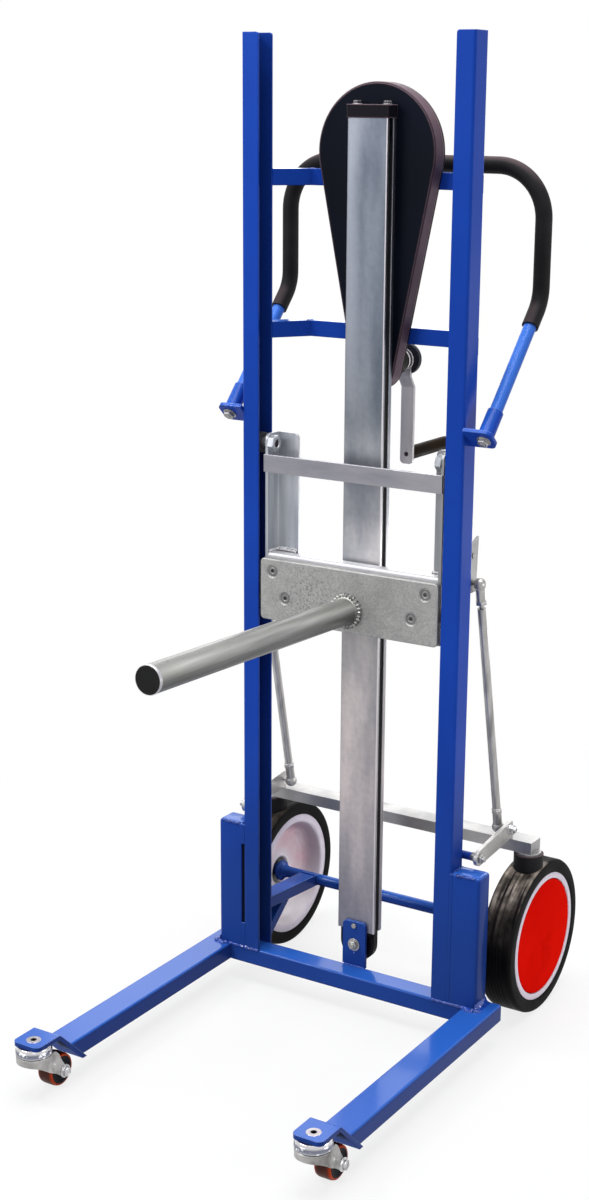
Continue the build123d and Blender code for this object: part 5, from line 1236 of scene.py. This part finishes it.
def fork_path():
    """The fork's outer wall seen from above: round the front, then back along a cheek."""
    path = []
    for step in range(1, 19):
        turn = math.radians(5 * step)
        path.append((FORK_OUT * math.sin(turn), -FORK_OUT * math.cos(turn)))
    for step in range(1, 28):
        along = 2.0 * step
        share = min(along / FORK_NARROW_RUN, 1)
        path.append((FORK_OUT - FORK_NARROWS * share * share * (3 - 2 * share), along))
    left = [(-out, along) for out, along in reversed(path)]
    return left + [(0, -FORK_OUT)] + path


def fork_section(low, high):
    """A cut through the fork's sheet, as (inward, up): rounded edges and a lip at the top."""
    lower = [(0, low + 1.4), (0.4, low + 0.4), (1.2, low), (2.6, low), (FORK_SHEET, low + 0.5)]
    upper = [(FORK_SHEET, high - 0.9), (2.6, high - 0.3), (1.3, high), (0.2, high - 0.2)]
    lip = [(-0.3, high - 0.9), (0, high - 2)]
    return lower + upper + lip


def pressed_forks():
    """Caster forks pressed from one sheet: a cup round the king pin that runs out into two cheeks."""
    path = [Vector(point) for point in fork_path()]
    for name, side in SIDES:
        shape = bmesh.new()
        centre = Vector((side * KING_PIN_X, KING_PIN_Y, 0))
        sections = []
        for index, point in enumerate(path):
            run = path[min(index + 1, len(path) - 1)] - path[max(index - 1, 0)]
            inward = Vector((-run.y, run.x)).normalized()
            section = []
            for deep, up in fork_section(*fork_edges(point.y)):
                spot = point + inward * deep
                section.append(shape.verts.new(centre + Vector((spot.x, spot.y, up))))
            sections.append(section)
        skin(shape, sections)
        lathe(shape, FORK_SEAT, centre, (0, 0, 1), 72)
        caster = name + "_caster"
        close_up(name + "_pressed_fork", shape, caster, "zinc", [caster + "_fork"], FORK_ZINC, sharp=50.0)


# Fasteners

HANDLE_RUN = Vector((0, 0.6779, 0.7351))
HANDLE_SOCKET_Y = 110
HANDLE_SOCKET_Z = 986.5
BRAKE_PIVOT_Y = 144.75
BRAKE_PIVOT_Z = 308
COLUMN_FACE = 134.5
BOOM_PLATE_FACE = 95.6


def frame_fasteners():
    """Bolts of the column and the push handle, and the nuts on the brake pivots."""
    rows = []
    for side in BOTH_SIDES:
        place = (side * 26, 152.5, 1456)
        rows.append(bolt(place, (0, 0, 1), head=(6.6, 4.6), washer=(8.4, 0.8), shank=(4, 19)))
    bolts("cap_bolts", rows, "frame", ["column_bolts"], BOLT_ZINC)
    front = (0, -1, 0)
    small = bolt((0, COLUMN_FACE, 141), front, head=(4.8, 3), shank=(3, 8))
    large = bolt((0, COLUMN_FACE, 107), front, head=(8.2, 6), washer=(11, 1.6), shank=(6, 26), stud=(5, 2))
    bolts("column_fasteners", [small, large], "frame")
    rows = []
    for side in BOTH_SIDES:
        place = Vector((side * 226, HANDLE_SOCKET_Y, HANDLE_SOCKET_Z)) - HANDLE_RUN * 6
        rows.append(bolt(place, -HANDLE_RUN, head=(9, 6), washer=(11, 1.5), shank=(5, 24), stud=(4, 1.2)))
    bolts("handle_fasteners", rows, "frame", ["handle_bolts"])
    rows = []
    for side in BOTH_SIDES:
        rows.append(bolt((side * 224.3, BRAKE_PIVOT_Y, BRAKE_PIVOT_Z), (side, 0, 0), head=(8.4, 4.6)))
        rows.append(bolt((side * 217.7, BRAKE_PIVOT_Y, BRAKE_PIVOT_Z), (-side, 0, 0), head=(8.4, 6)))
    bolts("brake_nuts", rows, "frame", ["brake_pivot_nuts"])


# The gas springs' ball joints on the middle plane, how far out they sit, and where their nuts are
LOWER_BALL = Vector((0, 252, 322))
UPPER_BALL = Vector((0, 158, 750))
SPRING_X = 201
LOCK_NUT_REACH = 28.6
STUD_NUT_X = 223.8


def spring_lock_nuts():
    """Hexagon nuts of the gas springs: one round each ball socket and one behind each lower ball."""
    for name, body, ball, other in (
        ("lower_lock_nuts", "spring_tube_pair", LOWER_BALL, UPPER_BALL),
        ("upper_lock_nuts", "spring_rod_pair", UPPER_BALL, LOWER_BALL),
    ):
        run = (other - ball).normalized()
        rows = []
        for side in BOTH_SIDES:
            place = ball + run * LOCK_NUT_REACH + Vector((side * SPRING_X, 0, 0))
            rows.append(bolt(place, run, head=(9.2, 5.6)))
        bolts(name, rows, body, finish=SPRING_ZINC)
    rows = []
    for side in BOTH_SIDES:
        place = LOWER_BALL + Vector((side * STUD_NUT_X, 0, 0))
        rows.append(bolt(place, (side, 0, 0), head=(8.6, 6), washer=(9.4, 1.4), stud=(5.2, 3)))
    bolts("ball_stud_nuts", rows, "brake", finish=BOLT_CHROME)


def boom_screws():
    """Four countersunk socket screws through the boom plate."""
    rows = []
    for side in BOTH_SIDES:
        for out, height in ((139, 737), (115, 695.5)):
            rows.append(bolt((side * out, BOOM_PLATE_FACE, height), (0, -1, 0)))
    seed = seed_bolts("boom_screws_seed", rows)
    sizes = {"Head": 0.0094, "Socket": 0.0036, "Deep": 0.0042, "Sunk": 0.0016}
    grow("boom_screws", SCREWS, seed, "carriage", "zinc", sizes, ["boom_plate_screws"], SCREW_ZINC)


NUT_OUTLINE = [(0, 0), (0, 12), (9.8, 12), (11, 10.8), (11, 7), (10, 6.2), (9.3, 6), (9.3, 0)]
NUT_HEXAGON = (1, 2)
BORE_OUTLINE = [(9.31, 0), (9.31, 5.9), (9.5, 5.6), (9.5, 0)]


def axle_nuts():
    """Nuts on the inner ends of the upper roller axles, with a thin black disc on each end as painted shade
    of an open bore.
    """
    nuts = bmesh.new()
    bore_shade_discs = bmesh.new()
    for side in BOTH_SIDES:
        place = (side * 155, 118, 939)
        lathe(nuts, NUT_OUTLINE, place, (-side, 0, 0), 72, NUT_HEXAGON)
        lathe(bore_shade_discs, BORE_OUTLINE, place, (-side, 0, 0), 48)
    close_up("axle_nuts", nuts, "carriage", "zinc", finish=ANGLE_ZINC)
    close_up("axle_nut_bore_shades", bore_shade_discs, "carriage", "black_plastic")


def crank_pin_end():
    """A black disc on the crank arm: painted shade in the dark sunk end of the grip's pin."""
    outline = [(0, 0), (0, 3.9), (-0.15, 3.5), (-0.15, 2.2), (0.1, 1.9), (0.1, 0)]
    turned("crank_pin_end", outline, (0, 277.95, 914), (0, 1, 0), 40, "crank", "black_plastic")


# Welds

def ring_line(centre, axis, radius, count=64):
    """A closed round line."""
    axis, side, other = directions(axis)
    line = []
    for step in range(count + 1):
        turn = 2 * math.pi * step / count
        line.append(Vector(centre) + radius * (math.cos(turn) * side + math.sin(turn) * other))
    return line


def mirrored(lines):
    """The same lines on both sides of the lift."""
    return lines + [[(-out, along, up) for out, along, up in line] for line in lines]


CROSS_TUBE_HEIGHTS = (1114.5, 1347)


def frame_welds():
    """Painted weld beads of the base, the stiffeners, the axle arms, the cross tubes and the lugs."""
    foot = [
        [(168, 98.6, 67.4), (190, 98.3, 67.6), (224, 98.4, 67.8)],
        [(222, 97.6, 68.2), (230, 97, 68.4), (238, 96.4, 68.5), (247, 96.4, 68.6)],
    ]
    painted_weld("foot_welds", mirrored(foot), Radius=0.0024, Ripple=0.011, Depth=0.12)
    runs = [
        [(229, 95.6, 68), (236, 94.4, 68.4), (243, 94.2, 68.4), (250, 95.6, 68)],
        [(234, 91.4, 67.2), (240, 90.6, 67.4), (246, 91.2, 67.2)],
        [(248, 94.6, 68), (253, 96, 67.6), (257, 99.6, 67.2)],
    ]
    painted_weld("foot_weld_runs", mirrored(runs), Radius=0.0034, Ripple=0.012, Depth=0.25)
    light = [
        [(197.4, 100, 291), (197.4, 118, 291.6), (197.4, 136, 291)],
        [(168, 279, 141.4), (182, 279, 141.6), (196, 279, 141.4)],
        [(172, 205, 127.5), (182, 205, 127.5), (192, 205, 127.5)],
    ]
    for height in CROSS_TUBE_HEIGHTS:
        light += [
            [(137.2, 193.6, height - 12), (137.2, 193.4, height + 12)],
            [(137.4, 194, height + 11.8), (134.2, 208, height + 11.8)],
            [(168, 138.6, height + 12.4), (194, 138.6, height + 12.4)],
            [(168, 138.6, height - 12.4), (194, 138.6, height - 12.4)],
        ]
    painted_weld("light_welds", mirrored(light), Radius=0.0015, Ripple=0.0035)
    bracket = [[(-21, 134.2, 68.4), (0, 134, 68.5), (21, 134.2, 68.4)]]
    painted_weld("bracket_weld", bracket, Radius=0.0018, Ripple=0.004)


# Boxes at the mast feet, and what fills the seams between them and the masts
BOX_OUT = 247
BOX_FRONT = 98
BOX_BACK = 138
BOX_FOOT = 67.8
BOX_TOP = 293
BOX_ROLL = 6
FILL_FRONT = 97.97
FILL_BACK = 138.02
FILL_TOP = 291


def stiffener_boxes():
    """The boxes at the mast feet with their rolled edges; the left one's seam is open in the middle, over a
    black strip of painted shade.
    """
    shape = bmesh.new()
    for start, stop in ((-BOX_OUT, -201.6), (200.6, BOX_OUT)):
        corners = set(block(shape, (start, BOX_FRONT, BOX_FOOT), (stop, BOX_BACK, BOX_TOP)))
        inner = min(abs(start), abs(stop))
        rolled = []
        for edge in shape.edges:
            middle = (edge.verts[0].co + edge.verts[1].co) / 2
            if corners.issuperset(edge.verts) and middle.z > BOX_FOOT + 2 and abs(middle.x) > inner + 1:
                rolled.append(edge)
        roll = {"offset": BOX_ROLL, "segments": 5, "profile": 0.5, "clamp_overlap": True}
        bmesh.ops.bevel(shape, geom=rolled, affect="EDGES", **roll)
    close_up("stiffener_boxes", shape, "frame", "blue_paint", ["mast_stiffeners"], sharp=30.0)
    fills = bmesh.new()
    for start, stop, front, low, high in (
        (-202, -194.6, FILL_FRONT, BOX_FOOT, 112),
        (-202, -194.6, FILL_FRONT, 256, FILL_TOP),
        (-202, -194.6, 104, 111, 257),
        (194.6, 200.4, FILL_FRONT, BOX_FOOT, FILL_TOP),
    ):
        block(fills, (start, front, low), (stop, FILL_BACK, high))
    close_up("seam_fills", fills, "frame", "blue_paint")
    # Painted shade: a black strip at the bottom of the left seam's open middle
    seam_shade_strip = bmesh.new()
    block(seam_shade_strip, (-201.8, 101.4, 110), (-195.5, 104.5, 258))
    bmesh.ops.bevel(seam_shade_strip, geom=list(seam_shade_strip.edges), offset=1.2, segments=3, profile=0.5, affect="EDGES")
    close_up("seam_shadow_strip", seam_shade_strip, "frame", "blue_paint", finish=FINISHES["black_plastic"])
    crests = [[(206, 98.8, 291.6), (222, 98.6, 292), (240, 99, 291.4)]]
    painted_weld("stiffener_crests", mirrored(crests), Radius=0.0019, Ripple=0.017, Depth=0.25)


FLARE_FOOT = 67.6
FLARE_RADIUS = 9


def flare_section(size):
    """The foot flare's section, as (out, up): a hollow quarter round between the box and the leg."""
    points = [(246.2, FLARE_FOOT), (246.2, 68 + 9.6 * size)]
    for step in range(9):
        turn = math.pi + math.pi / 2 * step / 8
        out = BOX_OUT + size * (FLARE_RADIUS + FLARE_RADIUS * math.cos(turn))
        points.append((out, 68.05 + size * (FLARE_RADIUS + FLARE_RADIUS * math.sin(turn))))
    return points + [(BOX_OUT + 9.6 * size, FLARE_FOOT)]


def foot_flares():
    """Painted weld that runs in a hollow curve from each box's side onto the leg."""
    shape = bmesh.new()
    for side in BOTH_SIDES:
        sections = []
        for along, size in ((96.4, 0.45), (98.5, 0.9), (108, 1.05), (122, 0.95), (135, 1.05), (138.6, 0.6)):
            sections.append([shape.verts.new((side * out, along, up)) for out, up in flare_section(size)])
        skin(shape, sections)
    close_up("foot_flares", shape, "frame", "blue_paint", finish=WELD_PAINT, sharp=60.0)


def carriage_welds():
    """Pale welds at the feet of the carriage angles and at the ends of the upper bar."""
    lines = [
        [(-154, 110, 764.6), (-154.2, 120, 765), (-154, 131, 764.6)],
        [(-153, 131.5, 765), (-138, 132, 765.4), (-118, 131.6, 764.6)],
        [(-154.4, 137.6, 766), (-136, 137.6, 766.4), (-118, 137.6, 766)],
        [(154, 110, 764.6), (154.2, 120, 765), (154, 131, 764.6)],
        [(153, 131.5, 765), (143, 132, 765.2), (132, 131.6, 764.6)],
        [(-158, 107.8, 895.4), (-156, 107.9, 909), (-158, 107.8, 922.6)],
        [(158, 107.8, 895.4), (156, 107.9, 909), (158, 107.8, 922.6)],
    ]
    weld("carriage_welds", lines, "carriage", "zinc", CROSS_ZINC, Radius=0.0024, Ripple=0.005, Depth=0.3)


BOOM_ROOT = Vector((0, BOOM_PLATE_FACE, 692))
BOOM_TILT = math.radians(2)
BOOM_AXIS = Vector((0, -math.cos(BOOM_TILT), math.sin(BOOM_TILT)))


def boom_end_ring():
    """The bright cut edge of the boom's tube round its plug."""
    outline = [(511, 20.4), (516.1, 20.4), (516.25, 20.7), (516.1, 21.1), (515.6, 21.35), (511, 21.35)]
    turned("boom_end_ring", outline, BOOM_ROOT, BOOM_AXIS, 96, "carriage", "galvanised", finish=CROSS_ZINC)


def boom_weld():
    """The scalloped weld ring round the root of the boom."""
    lines = [ring_line(BOOM_ROOT + BOOM_AXIS * 2.4, BOOM_AXIS, 24.6)]
    weld("boom_weld", lines, "carriage", "zinc", WELD_METAL, Radius=0.0032, Ripple=0.0058, Depth=0.38)


rear_wheels()
axle_flares()
casters()
pressed_forks()
frame_fasteners()
spring_lock_nuts()
boom_screws()
axle_nuts()
crank_pin_end()
frame_welds()
stiffener_boxes()
foot_flares()
carriage_welds()
boom_end_ring()
boom_weld()


# Camera, light and floor

def photo_camera():
    """The photograph's own viewpoint, in the frame of the CAD."""
    turn = math.radians(30.86)
    rise = math.radians(15.94)
    roll = math.radians(0.74)
    distance = 2.9676
    target = Vector((0.0, 0.098, 0.63527))
    back = Vector((math.sin(turn) * math.cos(rise), -math.cos(turn) * math.cos(rise), math.sin(rise)))
    right = Vector((math.cos(turn), math.sin(turn), 0.0))
    up = back.cross(right)
    level_right = math.cos(roll) * right + math.sin(roll) * up
    level_up = math.cos(roll) * up - math.sin(roll) * right
    data = bpy.data.cameras.new("camera")
    data.sensor_fit = "VERTICAL"
    data.sensor_height = 36.0
    data.sensor_width = 36.0
    data.lens = 56.443
    data.shift_x = -0.0434
    data.shift_y = 0.0378
    camera = bpy.data.objects.new("camera", data)
    axes = Matrix((level_right, level_up, back)).transposed().to_4x4()
    camera.matrix_world = Matrix.Translation(target + back * distance) @ axes
    scene.collection.objects.link(camera)
    scene.camera = camera


def soft_box(name, place, aim, width, height, watts):
    """A large area lamp that looks at a point and isn't seen by the camera."""
    data = bpy.data.lights.new(name, "AREA")
    data.shape = "RECTANGLE"
    data.size = width
    data.size_y = height
    data.energy = watts
    lamp = bpy.data.objects.new(name, data)
    lamp.location = place
    lamp.rotation_euler = (Vector(aim) - Vector(place)).to_track_quat("-Z", "Y").to_euler()
    lamp.visible_camera = False
    scene.collection.objects.link(lamp)


def seen_rays(tree):
    """1 for rays from the eye, straight, mirrored or through glass, and 0 for light on the object."""
    path = put(tree, "ShaderNodeLightPath").outputs
    seen = math_node(tree, "MAXIMUM", path["Is Camera Ray"], path["Is Glossy Ray"])
    return math_node(tree, "MAXIMUM", seen, path["Is Transmission Ray"])


def studio():
    """White surroundings for the eye and for reflections, soft lamps for the form."""
    world = bpy.data.worlds.new("studio")
    scene.world = world
    world.use_nodes = True
    tree = world.node_tree
    tree.nodes.clear()
    fill = put(tree, "ShaderNodeBackground", {"Color": (0.92, 0.95, 1.0, 1), "Strength": 0.28})
    white = put(tree, "ShaderNodeBackground", {"Color": WHITE, "Strength": 1.0})
    mixed = put(tree, "ShaderNodeMixShader", {0: seen_rays(tree), 1: fill.outputs[0], 2: white.outputs[0]})
    put(tree, "ShaderNodeOutputWorld", {"Surface": mixed.outputs[0]})
    soft_box("lamp_top", (0.1, 0.0, 3.4), (0.0, 0.0, 0.5), 2.4, 2.4, 110.0)
    soft_box("lamp_front", (-1.7, -2.8, 2.3), (0.0, 0.0, 0.7), 1.6, 2.0, 42.0)
    soft_box("lamp_edge", (-2.1, -1.0, 3.4), (0.0, 0.0, 0.3), 0.6, 0.6, 40.0)
    soft_box("lamp_side", (1.6, 2.4, 0.6), (0.17, 0.1, 1.2), 1.2, 0.9, 2.5)
    soft_box("lamp_wheel", (0.2, 0.8, 0.6), (-0.25, 0.29, 0.12), 0.3, 0.3, 1.6)
    soft_box("lamp_right", (2.4, 0.35, 0.7), (0.0, 0.29, 0.13), 0.9, 0.9, 14.0)
    soft_box("lamp_back", (-1.5, 2.6, 1.9), (0.0, 0.1, 0.6), 2.0, 1.5, 20.0)


FLOOR_MIDDLE = (0.0, 0.1, 0.0)
FLOOR_RADIUS = 1.7
FLOOR_DROP = 0.0003
FADE_START = 0.7
FADE_END = 1.5


def floor_finish():
    """Pale where light falls on it, nearly white to the eye, and clear towards its rim."""
    material = bpy.data.materials.new("studio_floor")
    material.use_nodes = True
    tree = material.node_tree
    tree.nodes.clear()
    place = put(tree, "ShaderNodeTexCoord").outputs["Object"]
    middle = put(tree, "ShaderNodeVectorMath", {0: place, 1: FLOOR_MIDDLE}, operation="SUBTRACT")
    reach = put(tree, "ShaderNodeVectorMath", {0: middle.outputs[0]}, operation="LENGTH").outputs["Value"]
    fade = put(tree, "ShaderNodeMapRange", {"Value": reach, "From Min": FADE_START, "From Max": FADE_END})
    pale = put(tree, "ShaderNodeBsdfDiffuse", {"Color": (0.7, 0.7, 0.71, 1)})
    white = put(tree, "ShaderNodeEmission", {"Color": WHITE, "Strength": 1.0})
    clear = put(tree, "ShaderNodeBsdfTransparent")
    lifted = math_node(tree, "MULTIPLY", seen_rays(tree), 0.8)
    lit = put(tree, "ShaderNodeMixShader", {0: lifted, 1: pale.outputs[0], 2: white.outputs[0]})
    faded = put(tree, "ShaderNodeMixShader", {0: fade.outputs[0], 1: lit.outputs[0], 2: clear.outputs[0]})
    put(tree, "ShaderNodeOutputMaterial", {"Surface": faded.outputs[0]})
    return material


def floor_disc():
    """A pale round floor that keeps the shadow and fades into the white surroundings."""
    mesh = bpy.data.meshes.new("floor")
    shape = bmesh.new()
    bmesh.ops.create_circle(shape, cap_ends=True, segments=96, radius=FLOOR_RADIUS)
    bmesh.ops.translate(shape, verts=shape.verts, vec=Vector(FLOOR_MIDDLE) - Vector((0, 0, FLOOR_DROP)))
    shape.to_mesh(mesh)
    shape.free()
    floor = bpy.data.objects.new("floor", mesh)
    scene.collection.objects.link(floor)
    mesh.materials.append(floor_finish())


photo_camera()
studio()
floor_disc()
